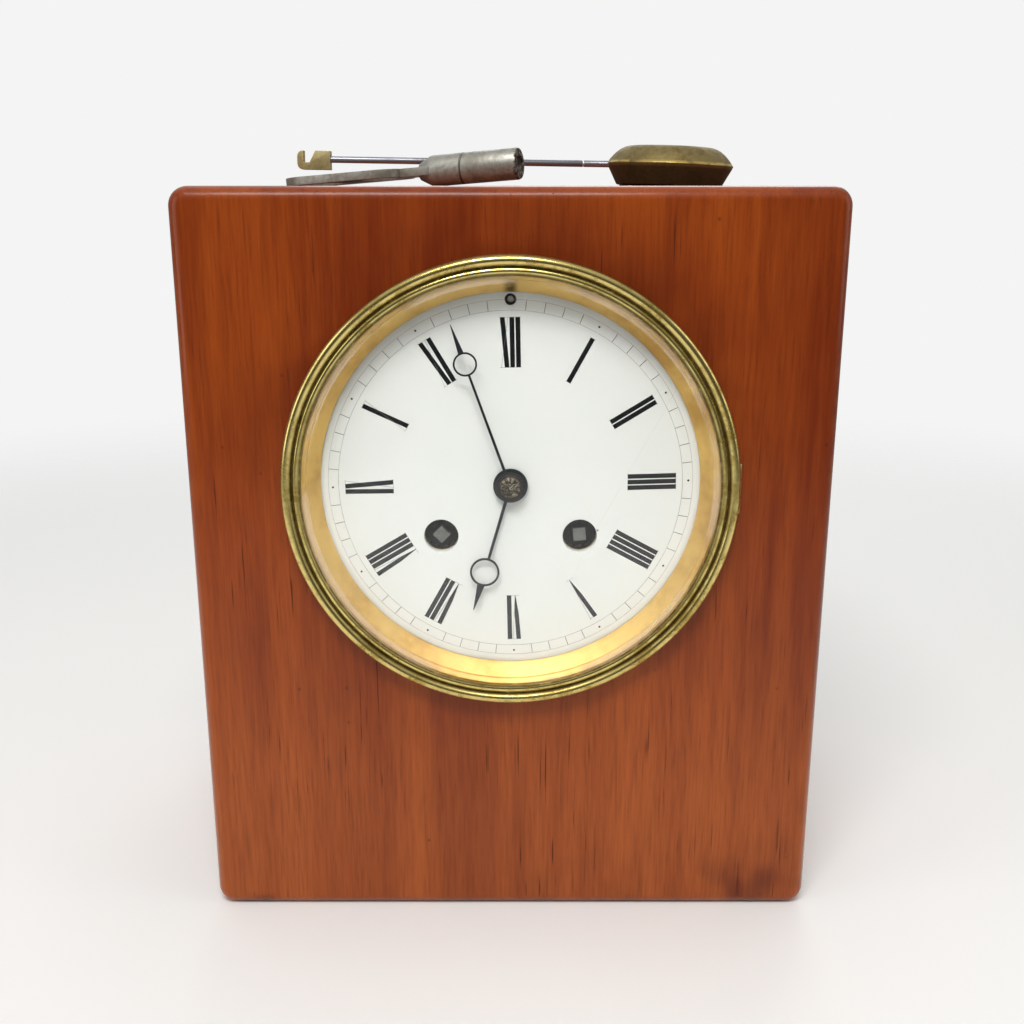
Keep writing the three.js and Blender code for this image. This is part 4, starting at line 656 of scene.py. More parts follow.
glass = Finish("bezel_glass_clear", Transmission_Weight=1.0, IOR=1.46, Base_Color=(0.985, 0.992, 0.985, 1))
smear = glass.noise(130, 3, 0.6).between(0.5, 0.9)
glass.wear(Roughness=smear * 0.05)
glass.bump(glass.noise(60, 2, 0.5), 0.01)
GROUND_EDGE = (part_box("bezel_glass")[1].x - DIAL_X) / MM - 3.0
glass_radius = glass.from_middle(DIAL_X, DIAL_Z) * (1 / MM)
ground = glass_radius.between(GROUND_EDGE, GROUND_EDGE + 0.5) * glass.noise(34, 3, 0.6).between(0.36, 0.60)
haze = glass.point.make("ShaderNodeBsdfDiffuse", None, 0, Color=screen(238, 220, 196))
output = glass.tree.nodes["Material Output"]
hazed = glass.point.make("ShaderNodeMixShader", None, 0, s0=ground * 0.27 + smear * 0.012)
glass.tree.links.new(glass.shader.outputs["BSDF"], hazed.socket.node.inputs[1])
glass.tree.links.new(haze.socket, hazed.socket.node.inputs[2])
glass.tree.links.new(hazed.socket, output.inputs["Surface"])
GLASS = glass
print("hand, collet and glass finishes are ready")
# %% [markdown]
# ## Tools of the bench
#
# Every piece is made with the same few moves: take one object, select some of its edges by
# where they are, act on them, and finish with a modifier. These helpers hold those moves.


# %% Selecting and finishing helpers
def clear_selection():
    if bpy.context.mode != "OBJECT":
        bpy.ops.object.mode_set(mode="OBJECT")
    bpy.ops.object.select_all(action="DESELECT")


def take(obj):
    """Selects one object, and only it."""
    clear_selection()
    obj.select_set(True)
    bpy.context.view_layer.objects.active = obj
    return obj


def pick(obj, kind, test):
    """Goes into edit mode with only the verts, edges or faces that pass the test selected."""
    take(obj)
    bpy.ops.object.mode_set(mode="EDIT")
    bpy.ops.mesh.select_mode(type={"verts": "VERT", "edges": "EDGE", "faces": "FACE"}[kind])
    bpy.ops.mesh.select_all(action="DESELECT")
    mesh = bmesh.from_edit_mesh(obj.data)
    for item in getattr(mesh, kind):
        if test(item):
            item.select_set(True)
    bmesh.update_edit_mesh(obj.data)


def pick_all(obj):
    take(obj)
    bpy.ops.object.mode_set(mode="EDIT")
    bpy.ops.mesh.select_all(action="SELECT")


def done_editing():
    bpy.ops.object.mode_set(mode="OBJECT")


def edge_way(edge):
    return (edge.verts[1].co - edge.verts[0].co).normalized()


def modify(obj, kind, **settings):
    """Adds a modifier and applies it."""
    take(obj)
    modifier = obj.modifiers.new(kind.lower(), kind)
    for key, value in settings.items():
        setattr(modifier, key, value)
    bpy.ops.object.modifier_apply(modifier=modifier.name)


def settle(obj):
    """Writes the object's place, turn and size into its mesh."""
    take(obj)
    bpy.ops.object.transform_apply(location=True, rotation=True, scale=True)


def weld_and_face_out(obj, distance=1e-7):
    pick_all(obj)
    bpy.ops.mesh.remove_doubles(threshold=distance)
    bpy.ops.mesh.normals_make_consistent(inside=False)
    done_editing()


def soften(obj, angle=32):
    take(obj)
    bpy.ops.object.shade_smooth_by_angle(angle=math.radians(angle))


def ease_edges(obj, width_mm, segments=2, angle=38):
    """Takes the sharpness off every edge sharper than the angle."""
    modify(
        obj, "BEVEL", width=width_mm * MM, segments=segments, limit_method="ANGLE",
        angle_limit=math.radians(angle), use_clamp_overlap=True,
    )


def fuse(obj, other):
    """Joins another solid to this one as one closed body."""
    modify(obj, "BOOLEAN", operation="UNION", solver="EXACT", object=other)
    drop(other)
    return obj


def cut_away(obj, tool):
    """Cuts another solid out of this one."""
    modify(obj, "BOOLEAN", operation="DIFFERENCE", solver="EXACT", object=tool)
    drop(tool)
    return obj


def drop(obj):
    bpy.data.objects.remove(obj, do_unlink=True)


def twin(obj, name):
    """A copy with its own mesh."""
    copy = obj.copy()
    copy.data = obj.data.copy()
    copy.name = copy.data.name = name
    bpy.context.scene.collection.objects.link(copy)
    return copy


def gather(first, *others):
    """Makes several objects one, each keeping its own closed shells."""
    clear_selection()
    for obj in (first, *others):
        obj.select_set(True)
    bpy.context.view_layer.objects.active = first
    bpy.ops.object.join()
    return first


def hand_over(obj, finish, body, slot, *nodes):
    """Gives a finished piece its material, its body and the CAD nodes it stands for. Its slot argument is not
    used.
    """
    settle(obj)
    obj.data.materials.clear()
    obj.data.materials.append(finish.material)
    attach(obj, body)
    if nodes:
        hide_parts(*nodes)
    size = [round(v / MM, 1) for v in obj.dimensions]
    print(f"{obj.name}: {len(obj.data.polygons)} faces, {size} mm, on {body}")
    return obj


print("bench tools are ready")


# %% [markdown]
# ### Blocks, rods and turned pieces
#
# Three starts cover almost everything. A block is a cube set to two corners. A rod is a
# cylinder between two places along an axis. A turned piece starts as one point, is
# extruded into the outline of half its section, and is spun round its axis, exactly as a
# lathe tool follows a profile.


# %% Starts for new pieces
def block(name, low, high):
    """A box between two corners in metres."""
    low, high = Vector(low), Vector(high)
    bpy.ops.mesh.primitive_cube_add(size=1, location=(low + high) / 2)
    obj = bpy.context.object
    obj.name = obj.data.name = name
    obj.scale = high - low
    settle(obj)
    return obj


def rod(name, radius, start, end, sides=48):
    """A round bar from start to end, in metres."""
    start, end = Vector(start), Vector(end)
    bpy.ops.mesh.primitive_cylinder_add(
        radius=radius, depth=(end - start).length, vertices=sides, location=(start + end) / 2
    )
    obj = bpy.context.object
    obj.name = obj.data.name = name
    obj.rotation_mode = "QUATERNION"
    obj.rotation_quaternion = (end - start).to_track_quat("Z", "Y")
    settle(obj)
    return obj


def arc(across, up, radius, start, end, steps=8):
    """Points of an arc in a section, with its angles in degrees from outward towards up."""
    angles = [math.radians(start + (end - start) * i / steps) for i in range(steps + 1)]
    return [(across + radius * math.cos(a), up + radius * math.sin(a)) for a in angles]


def turned(name, section, steps=192, ring=False):
    """Spins a section of (radius, height) points in mm round the y axis. Height goes towards -y.
    ring closes the section on itself, for a piece with a hole through it."""
    bpy.ops.mesh.primitive_plane_add(size=2 * MM)
    obj = bpy.context.object
    obj.name = obj.data.name = name
    pick_all(obj)
    bpy.ops.mesh.select_mode(type="VERT")
    bpy.ops.mesh.select_all(action="SELECT")
    bpy.ops.mesh.merge(type="CENTER")
    places = [Vector((radius * MM, -height * MM, 0)) for radius, height in section]
    bpy.ops.transform.translate(value=places[0])
    for before, after in zip(places, places[1:]):
        bpy.ops.mesh.extrude_region_move(TRANSFORM_OT_translate={"value": after - before})
    if ring:
        mesh = bmesh.from_edit_mesh(obj.data)
        mesh.verts.ensure_lookup_table()
        bpy.ops.mesh.select_all(action="DESELECT")
        ends = [min(mesh.verts, key=lambda v, p=p: (v.co - p).length) for p in (places[0], places[-1])]
        for vert in ends:
            vert.select_set(True)
        bmesh.update_edit_mesh(obj.data)
        bpy.ops.mesh.edge_face_add()
    bpy.ops.mesh.select_all(action="SELECT")
    bpy.ops.mesh.spin(steps=steps, angle=2 * math.pi, center=(0, 0, 0), axis=(0, 1, 0))
    done_editing()
    weld_and_face_out(obj, 2e-6)
    return obj


def at_dial(obj):
    """Moves a turned piece from the origin to the dial's axis, its heights from the case's face."""
    obj.location = (DIAL_X, FACE, DIAL_Z)
    settle(obj)
    return obj


print("block, rod, arc and turned are ready")

# %% [markdown]
# ## The case
#
# The maker glued up a box and rounded it over as one. We do the same: one block, its four
# long edges rounded, then the rims of its two ends, and only then it is sawn into boards
# with bisect. So the roundings run on from board to board. Every sawn edge is eased by a
# hair, which leaves the fine joint line that shows where two boards meet.

# %% One rounded block
CORNER_ROUND = 5.0 * MM
RIM_ROUND = 3.5 * MM


def rounded_case(name):
    obj = block(name, CASE_LOW, CASE_HIGH)

    def is_long(edge):
        return abs(edge_way(edge).y) > 0.99

    pick(obj, "edges", is_long)
    bpy.ops.mesh.bevel(offset=CORNER_ROUND, segments=10, profile=0.5, affect="EDGES")
    done_editing()

    def is_rim(edge):
        y = [vert.co.y for vert in edge.verts]
        return max(y) - CASE_LOW.y < SKIN or CASE_HIGH.y - min(y) < SKIN

    pick(obj, "edges", is_rim)
    bpy.ops.mesh.bevel(offset=RIM_ROUND, segments=8, profile=0.5, affect="EDGES")
    done_editing()
    return obj


CASE_SHELL = rounded_case("rounded_case")
print("rounded case:", len(CASE_SHELL.data.polygons), "faces")


# %% Saw it into boards
def sawn(name, *cuts):
    """A copy of the rounded case that keeps what is on the far side of each cut: (axis, place, side)."""
    obj = twin(CASE_SHELL, name)
    for axis, place, side in cuts:
        normal = [0, 0, 0]
        normal[axis] = side
        point = [0, 0, 0]
        point[axis] = place
        pick_all(obj)
        bpy.ops.mesh.bisect(
            plane_co=point, plane_no=normal, use_fill=True, clear_inner=True, clear_outer=False
        )
        done_editing()
    return obj


def finish_board(obj, finish, node):
    ease_edges(obj, 0.22)
    modify(obj, "WEIGHTED_NORMAL", keep_sharp=True, weight=80)
    hand_over(obj, finish, BODY_OF[node], SLOT_OF[node], node)


def smooth_board(obj):
    take(obj)
    bpy.ops.object.shade_smooth()


X, Y, Z = 0, 1, 2
FRONT_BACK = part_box("front_board")[1].y
dial_hole_radius = DIAL_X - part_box("dial_ring")[0].x - 1.0 * MM
front = sawn("front_board_varnished", (Y, FRONT_BACK, -1))
hole = rod(
    "hole_tool", dial_hole_radius,
    (DIAL_X, FACE - MM, DIAL_Z), (DIAL_X, FRONT_BACK + MM, DIAL_Z), 160,
)
cut_away(front, hole)
BOARDS = (
    (front, TIMBER_UP, "front_board"),
    (sawn("top_board_varnished", (Y, FRONT_BACK, 1), (Z, CEILING, 1)), TIMBER_ACROSS, "top_board"),
    (
        sawn("bottom_board_varnished", (Y, FRONT_BACK, 1), (Z, FLOOR_BOARD, -1)),
        TIMBER_ACROSS, "bottom_board",
    ),
    (
        sawn(
            "left_side_varnished",
            (Y, FRONT_BACK, 1), (Z, FLOOR_BOARD, 1), (Z, CEILING, -1), (X, -INSIDE_X, -1),
        ),
        TIMBER_UP, "left_side_board",
    ),
    (
        sawn(
            "right_side_varnished",
            (Y, FRONT_BACK, 1), (Z, FLOOR_BOARD, 1), (Z, CEILING, -1), (X, INSIDE_X, 1),
        ),
        TIMBER_UP, "right_side_board",
    ),
)
for board, finish, node in BOARDS:
    smooth_board(board)
    finish_board(board, finish, node)
drop(CASE_SHELL)

# %% [markdown]
# ### The back board
#
# The back is let in between the sides: a plain slab with a large round hole for the
# movement. Its edges are eased more than the others, because it was never finished.

# %% Back board
BACK_LOW, BACK_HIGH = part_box("back_board")
REAR_RING_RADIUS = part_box("rear_ring")[1].x - DIAL_X
REAR_SLEEVE = REAR_RING_RADIUS - 4.2 * MM
back = block("back_board_plain", BACK_LOW, BACK_HIGH)
hole = rod(
    "hole_tool", REAR_SLEEVE + 0.3 * MM,
    (DIAL_X, BACK_LOW.y - MM, DIAL_Z), (DIAL_X, BACK_HIGH.y + MM, DIAL_Z), 160,
)
cut_away(back, hole)
smooth_board(back)
ease_edges(back, 0.4)
modify(back, "WEIGHTED_NORMAL", keep_sharp=True, weight=80)
hand_over(back, BACK_TIMBER, BODY_OF["back_board"], SLOT_OF["back_board"], "back_board")

# %% [markdown]
# ## The bezel
#
# The bezel is one brass casting turned to two half-round beads with a hollow between them.
# Only its section matters, so it is drawn once as arcs and spun in fine steps. Its inside
# step holds the glass, and a slot at the right lets the hinge's middle knuckle through.

# %% Turn the bezel
GLASS_LOW, GLASS_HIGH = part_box("bezel_glass")
GLASS_MM = (GLASS_HIGH.x - DIAL_X) / MM
GLASS_BACK = height_of(GLASS_HIGH.y)
GLASS_FACE = height_of(GLASS_LOW.y)
BEZEL_TOP = height_of(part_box("bezel_ring")[0].y)
R = BEZEL_MM
skirt = R - 1.4
under_lip = GLASS_FACE + 0.05
bezel_section = [
    (skirt, 0.35),
    (R - 0.35, 0.35),
    *arc(R - 0.35, 0.70, 0.35, -90, 20, 6),
    (R - 0.22, 1.25),
    (R - 0.30, 1.50),
    *arc(R - 1.40, BEZEL_TOP - 1.40, 1.40, -62, 195, 30),
    (R - 2.76, 3.30),
    *arc(R - 3.02, 3.22, 0.24, -10, -170, 6),
    *arc(R - 4.02, BEZEL_TOP - 1.72, 1.06, -4, 112, 18),
    (R - 4.75, 3.72),
    *arc(R - 5.00, 3.60, 0.15, 80, 190, 5),
    (R - 5.15, under_lip),
    (GLASS_MM + 0.3, under_lip),
    (GLASS_MM + 0.3, 1.3),
    (skirt, 1.3),
]
bezel = at_dial(turned("bezel_ring_turned", bezel_section, 256, ring=True))

# %% Cut its hinge slot and add the knuckles
PIN_LOW, PIN_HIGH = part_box("bezel_hinge_pin")
HINGE = ((PIN_LOW + PIN_HIGH) / 2)
KNUCKLE = 1.1 * MM
KNUCKLE_LONG = 4.5 * MM


def along_hinge(up):
    return (HINGE.x, HINGE.y, HINGE.z + up)


def knuckle(name, radius, low, high):
    obj = rod(name, radius, along_hinge(low), along_hinge(high), 32)
    ease_edges(obj, 0.12)
    return obj


slot_half = KNUCKLE_LONG / 2 + 0.3 * MM
cut_away(bezel, rod("slot_tool", KNUCKLE + 0.6 * MM, along_hinge(-slot_half), along_hinge(slot_half), 32))
near_end = KNUCKLE_LONG / 2 + 0.2 * MM
far_end = 1.5 * KNUCKLE_LONG
for low, high in ((-far_end, -near_end), (near_end, far_end)):
    fuse(bezel, knuckle("bezel_knuckle", KNUCKLE, low, high))

# Standing open, the bezel's outer bead would dig into the wood beside the hinge, so a
# sliver of it is filed away there: the wood's own surface, turned back with the bezel.
BEZEL_OPEN = next(
    joint["range_deg"][1]
    for joint in frame["record"]["behaviour"]["joints"]
    if joint["name"] == "bezel_hinge"
)
file_tool = block(
    "file_tool", (-3 * MM, FACE - 0.15 * MM - HINGE.y, -45 * MM), (9 * MM, 6 * MM, 45 * MM)
)
file_tool.rotation_euler = (0, 0, -math.radians(BEZEL_OPEN))
file_tool.location = HINGE
settle(file_tool)
cut_away(bezel, file_tool)
soften(bezel, 30)
hand_over(bezel, BEZEL_BRASS, "bezel", SLOT_OF["bezel_ring"], "bezel_ring")

# %% [markdown]
# ### Glass and sight ring
#
# The glass is a flat pane with a broad bevel ground round its edge, which is what catches
# a pale broken band of light just inside the brass. Behind it a thin gilt slope, the sight
# ring, leads down to the dial. A flat shoulder, a fine scribed line and a rolled foot keep
# the slope from looking like a plain cone.

# %% Grind the glass
BEVEL_WIDE = 3.0
BEVEL_DROP = 0.6
glass_section = [
    (0, GLASS_BACK),
    (GLASS_MM - 0.15, GLASS_BACK),
    (GLASS_MM, GLASS_BACK + 0.15),
    (GLASS_MM, GLASS_FACE - BEVEL_DROP - 0.12),
    (GLASS_MM - 0.10, GLASS_FACE - BEVEL_DROP),
    (GLASS_MM - BEVEL_WIDE - 0.05, GLASS_FACE - 0.01),
    (GLASS_MM - BEVEL_WIDE - 0.25, GLASS_FACE),
    (0, GLASS_FACE),
]
pane = at_dial(turned("bezel_glass_ground", glass_section, 192))
soften(pane, 8)
pane.visible_shadow = False
hand_over(pane, GLASS, "bezel", SLOT_OF["bezel_glass"], "bezel_glass")

# %% Spin the sight ring
SIGHT_LOW, SIGHT_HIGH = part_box("sight_ring")
SIGHT_RIM = (SIGHT_HIGH.x - DIAL_X) / MM
rim_top = height_of(SIGHT_LOW.y)
foot_height = height_of(SIGHT_HIGH.y)
FOOT_RADIUS = ENAMEL_RADIUS / MM - 1.4
shoulder = SIGHT_RIM - 1.45
wall = 0.5


def slope(share):
    """A point down the slope from its shoulder, 0, to its foot, 1."""
    radius = shoulder + (FOOT_RADIUS - shoulder) * share
    return (radius, rim_top - 0.30 + (foot_height + 0.5 - rim_top + 0.30) * share)


def behind(point):
    return (point[0] + wall, point[1] - 0.12)


sight_section = [
    (SIGHT_RIM, rim_top - 0.5),
    (SIGHT_RIM, rim_top - 0.06),
    (SIGHT_RIM - 0.06, rim_top),
    (shoulder + 0.12, rim_top),
    (shoulder + 0.02, rim_top - 0.12),
    slope(0.0),
    slope(0.22),
    (slope(0.235)[0] + 0.10, slope(0.235)[1] - 0.10),
    slope(0.25),
    slope(0.50),
    slope(0.75),
    slope(0.96),
    *arc(FOOT_RADIUS + 0.28, foot_height + 0.30, 0.28, 150, 330, 8),
    behind(slope(0.85)),
    behind(slope(0.5)),
    behind(slope(0.1)),
    (SIGHT_RIM - 0.75, rim_top - 0.5),
]
sight = at_dial(turned("sight_ring_gilded", sight_section, 224, ring=True))
soften(sight, 30)
hand_over(sight, GILT, "bezel", SLOT_OF["sight_ring"], "sight_ring")

# %% [markdown]
# ## The enamel dial
#
# The dial is a shallow dome of white enamel with three holes and a middle hole. It is
# turned from a section whose top follows the dome's formula, then drilled. Where enamel
# ends, at a hole or the rim, it always rounds over, so those edges are eased.

# %% Turn and drill the dial
DOME_EDGE = -4.5
DOME_RISE = 1.3
DIAL_BACK = height_of(DIAL_HIGH.y)
ENAMEL_MM = ENAMEL_RADIUS / MM
MIDDLE_HOLE = 3.6


def dome(radius):
    """Height in mm of the enamel at a radius in mm."""
    return DOME_EDGE + DOME_RISE * (1 - (radius / ENAMEL_MM) ** 2)


DOME_STEPS = 20
dome_radii = [
    ENAMEL_MM - 0.35 - (ENAMEL_MM - 0.5 - MIDDLE_HOLE) * i / DOME_STEPS
    for i in range(DOME_STEPS + 1)
]
dial_section = [
    (MIDDLE_HOLE, DIAL_BACK),
    (ENAMEL_MM, DIAL_BACK),
    (ENAMEL_MM, DOME_EDGE - 0.35),
    (ENAMEL_MM - 0.1, DOME_EDGE - 0.1),
    *[(radius, dome(radius)) for radius in dome_radii],
    (MIDDLE_HOLE, dome(MIDDLE_HOLE) - 0.15),
]
enamel_dial = at_dial(turned("enamel_dial_domed", dial_section, 192, ring=True))

winding_holes = []
for node in ("going_winding_arbor", "strike_winding_arbor"):
    low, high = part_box(node)
    winding_holes.append(((low.x + high.x) / 2, (low.z + high.z) / 2, 4.6 * MM))
low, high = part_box("regulator_arbor")
regulator_z = (low.z + high.z) / 2
HOLES = (*winding_holes, (DIAL_X, regulator_z, 1.5 * MM))
for hole_x, hole_z, hole_radius in HOLES:
    drill = rod(
        "drill_tool", hole_radius,
        (hole_x, at_height(0), hole_z), (hole_x, at_height(-9), hole_z), 64,
    )
    cut_away(enamel_dial, drill)
ease_edges(enamel_dial, 0.16, 3, 45)
soften(enamel_dial, 40)
hand_over(enamel_dial, ENAMEL, "case", SLOT_OF["enamel_dial"], "enamel_dial")

# %% [markdown]
# ### The hour figures
#
# Roman figures are built from three strokes: a straight bar, a heavy slant and a hairline.
# They could be drawn as text, but the old engraver's figures stand on the circle with
# their feet to the middle and have almost invisible hairlines. So each stroke is a small
# plane set by its two ends, and the finished figures are laid on the dome by its formula
# and given a little thickness, like fired ink.

# %% Strokes
INK_LIFT = 0.012
INK_THICK = 0.03
FIGURE_FOOT = 31.0
FIGURE_TOP = 43.7
BAR = 1.22
PITCH = 1.52
HAIR = 0.075
DIAL_LEAN = 1.15


def stroke(foot_across, top_across, foot_width, top_width, foot=FIGURE_FOOT, top=FIGURE_TOP):
    """A flat stroke standing up from the middle, its two ends in mm across and up the dial."""
    bpy.ops.mesh.primitive_plane_add(size=2 * MM)
    obj = bpy.context.object
    ends = ((foot_across, foot, foot_width), (top_across, top, top_width))
    for vert in obj.data.vertices:
        across, up, width = ends[1 if vert.co.y > 0 else 0]
        side = 1 if vert.co.x > 0 else -1
        vert.co = ((across + side * width / 2) * MM, 0, up * MM)
    pick(obj, "edges", lambda edge: abs(edge_way(edge).z) > 0.5)
    bpy.ops.mesh.subdivide(number_cuts=5)
    done_editing()
    return obj


def bar(at):
    return [(at, at, BAR, BAR)]


def slant(at, lean):
    return [(at + lean / 2, at - lean / 2, BAR, BAR)]


def hair(foot_at, top_at):
    return [(foot_at, top_at, HAIR, HAIR)]


def serif(left, right, at):
    """A hairline across the foot or the top of a figure."""
    middle = (left + right) / 2
    return [(middle, middle, right - left, right - left, at, at + HAIR)]


def pointed(at, lean):
    """The heavy side of a V, which runs to a point at its foot."""
    bend = FIGURE_FOOT + 5.2
    bend_at = at + lean * 0.1
    return [
        (at + lean * 0.5, bend_at, 0.12, BAR * 0.92, FIGURE_FOOT, bend),
        (bend_at, at - lean * 0.5, BAR * 0.92, BAR, bend, FIGURE_TOP),
    ]


def figure(letters):
    """The strokes of a Roman figure, centred on its hour."""
    wide = {"I": PITCH, "V": 2.05, "X": 2.35}
    total = sum(wide[letter] for letter in letters)
    left = -total / 2
    strokes = []
    for letter in letters:
        at = left + wide[letter] / 2
        if letter == "I":
            strokes += bar(at)
        elif letter == "V":
            strokes += pointed(at - 0.25, 0.75) + hair(at + 0.2, at + 0.85)
        else:
            strokes += slant(at, 1.0) + hair(at - 0.95, at + 0.95)
        left += wide[letter]
    spread = total / 2 + 0.12
    return strokes + serif(-spread, spread, FIGURE_TOP) + serif(-spread, spread, FIGURE_FOOT - HAIR)


print("XII has", len(figure("XII")), "strokes")


# %% Set the figures round the dial
def turn_to(obj, minutes):
    """Turns a piece made at the top of the dial to a minute, with the dial's small lean."""
    obj.rotation_euler = (0, math.radians(minutes * 6 - DIAL_LEAN), 0)
    settle(obj)
    return obj


def lay_on_dome(obj, lift=INK_LIFT):
    """Drops a flat print onto the enamel and gives it the ink's thickness."""
    for vert in obj.data.vertices:
        radius = math.hypot(vert.co.x, vert.co.z) / MM
        vert.co.y = -(dome(radius) + lift) * MM
    obj.data.update()
    pick_all(obj)
    bpy.ops.mesh.normals_make_consistent(inside=False)
    done_editing()
    modify(obj, "SOLIDIFY", thickness=INK_THICK * MM, offset=0)
    weld_and_face_out(obj, 1e-9)
    return at_dial(obj)


NUDGE = {"XII": 0.8, "XI": 0.6, "VII": 0.3, "X": 0.3}
HOUR_LETTERS = ("XII", "I", "II", "III", "IIII", "V", "VI", "VII", "VIII", "IX", "X", "XI")
bars, hairs = [], []
for hour, letters in enumerate(HOUR_LETTERS):
    for line in figure(letters):
        piece = stroke(*line)
        piece.location.x = NUDGE.get(letters, 0) * MM
        settle(piece)
        turn_to(piece, hour * 5)
        thin_bar = min(line[2:4]) <= HAIR
        flat_serif = len(line) > 4 and line[5] - line[4] <= HAIR * 1.5
        (hairs if thin_bar or flat_serif else bars).append(piece)
numerals = lay_on_dome(gather(*bars))
numerals.name = numerals.data.name = "hour_figures"
hand_over(numerals, INK, "case", "enamel")

# %% [markdown]
# ### The minute track
#
# Two thin circles with a tick for every minute between them, and a dot at every fifth
# minute instead of a tick. One tick and one dot are made and copied round. The dot at
# twelve is missing, because the regulator's hole is drilled there.

# %% Ticks, dots and circles
TRACK_INNER, TRACK_OUTER = 45.5, 48.2
TRACK_LINE = 0.07
TICK = 0.115
DOT_RADIUS = 0.27
DOT_AT = 47.05


def circle_line(radius, width, steps=240):
    """A thin flat ring standing round the dial's middle."""
    bpy.ops.mesh.primitive_circle_add(
        vertices=steps, radius=(radius - width / 2) * MM, rotation=(math.pi / 2, 0, 0)
    )
    obj = bpy.context.object
    settle(obj)
    pick_all(obj)
    grow = (radius + width / 2) / (radius - width / 2)
    bpy.ops.mesh.extrude_region_move()
    bpy.ops.transform.resize(value=(grow, grow, grow))
    done_editing()
    return obj


ticks = []
for minute in range(60):
    if minute % 5:
        ticks.append(turn_to(stroke(0, 0, TICK, TICK, TRACK_INNER + 0.1, TRACK_OUTER - 0.1), minute))
rings = [circle_line(TRACK_INNER, TRACK_LINE), circle_line(TRACK_OUTER, TRACK_LINE * 0.8)]
track = lay_on_dome(gather(*rings, *hairs))
track.name = track.data.name = "minute_circles_and_hairlines"
hand_over(track, FINE_INK, "case", "enamel")

dots = []
for minute in range(5, 60, 5):
    bpy.ops.mesh.primitive_circle_add(
        vertices=20, radius=DOT_RADIUS * MM, fill_type="NGON", rotation=(math.pi / 2, 0, 0)
    )
    dot = bpy.context.object
    dot.location = (0, 0, DOT_AT * MM)
    settle(dot)
    dots.append(turn_to(dot, minute))
dot_marks = lay_on_dome(gather(*dots, *ticks))
dot_marks.name = dot_marks.data.name = "minute_ticks_and_dots"
hand_over(dot_marks, INK, "case", "enamel")

# %% [markdown]
# ## The hands
#
# Moon hands: a thin stem, a pierced ring and a short leaf beyond it. Each part is a
# primitive shaped by moving its end, the parts are fused into one body, and every edge is
# rounded, because hands were filed by hand and have no sharp edges left.

# %% Moon hands
HAND_THICK = 0.5


def leaf(name, foot, top, foot_half, top_half):
    """A flat bar that narrows from its foot to its top, in mm up the hand."""
    half = HAND_THICK / 2
    obj = block(name, (-foot_half * MM, -half * MM, foot * MM), (foot_half * MM, half * MM, top * MM))
    pick(obj, "verts", lambda vert: vert.co.z > (foot + top) / 2 * MM)
    shrink = top_half / foot_half
    bpy.ops.transform.resize(value=(shrink, 1, 1), center_override=(0, 0, top * MM))
    done_editing()
    return obj


def flat_ring(name, outer, inner, up, thick=HAND_THICK):
    half = thick / 2
    section = [(inner, -half), (inner, half), (outer, half), (outer, -half)]
    obj = turned(name, section, 96, ring=True)
    obj.location.z = up * MM
    settle(obj)
    return obj


def moon_hand(
    name, length, ring_at, ring_radius, eye_radius, hub_radius, bore, stem, tip_foot, angle, height
):
    hand = flat_ring(name, hub_radius, bore, 0)
    fuse(hand, leaf("hand_stem", bore + 0.5, ring_at - (ring_radius + eye_radius) / 2, stem[0], stem[1]))
    fuse(hand, flat_ring("hand_ring", ring_radius, eye_radius, ring_at))
    fuse(hand, leaf("hand_leaf", ring_at + (ring_radius + eye_radius) / 2, length, tip_foot, 0.09))
    ease_edges(hand, 0.12, 2, 50)
    soften(hand, 40)
    hand.rotation_euler = (0, math.radians(angle), 0)
    hand.location = (DIAL_X, at_height(height), DIAL_Z)
    settle(hand)
    return hand


hour_box, minute_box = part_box("hour_hand"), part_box("minute_hand")
hour_height = height_of((hour_box[0].y + hour_box[1].y) / 2)
minute_height = height_of((minute_box[0].y + minute_box[1].y) / 2)
hour_hand = moon_hand(
    "hour_hand_moon", 36.1, 24.9, 3.95, 3.42, 4.57, 2.75, (0.42, 0.36), 1.0, 196.15, hour_height,
)
hand_over(hour_hand, BLUED, BODY_OF["hour_hand"], SLOT_OF["hour_hand"], "hour_hand")
minute_hand = moon_hand(
    "minute_hand_moon", 44.9, 34.2, 3.1, 2.62, 3.85, 1.85, (0.38, 0.30), 0.72, -19.8, minute_height,
)
hand_over(minute_hand, BLUED, BODY_OF["minute_hand"], SLOT_OF["minute_hand"], "minute_hand")

# %% [markdown]
# ### The collet
#
# A small domed brass washer pinned over the minute hand. It is turned, and its face is
# worn to low bumps by the finish.

# %% Collet
COLLET_LOW, COLLET_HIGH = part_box("hand_collet")
collet_radius_mm = (COLLET_HIGH.x - COLLET_LOW.x) / 2 / MM
collet_foot = height_of(COLLET_HIGH.y)
collet_top = height_of(COLLET_LOW.y)
collet_section = [
    (0, collet_foot),
    (collet_radius_mm, collet_foot),
    *arc(collet_radius_mm - 0.18, collet_foot + 0.2, 0.18, 0, 80, 4),
    (collet_radius_mm - 0.42, collet_foot + 0.30),
    (collet_radius_mm * 0.80, collet_foot + 0.50),
    (collet_radius_mm * 0.60, collet_top - 0.17),
    (collet_radius_mm * 0.35, collet_top - 0.05),
    (collet_radius_mm * 0.15, collet_top - 0.01),
    (0, collet_top),
]
collet_piece = at_dial(turned("hand_collet_domed", collet_section, 64))
soften(collet_piece, 40)
hand_over(collet_piece, COLLET, BODY_OF["hand_collet"], SLOT_OF["hand_collet"], "hand_collet")
# %% [markdown]
# ## The pendulum on the top
#
# The pendulum was taken off and laid on the case. Its parts are made upright at the origin,
# each along its own axis, then tipped and carried to their place together, so that they
# still fit each other. The bob is a bronze lens whose two cones meet in a thin rim. Its
# upper face is slightly swelled, which a plain cone would miss.

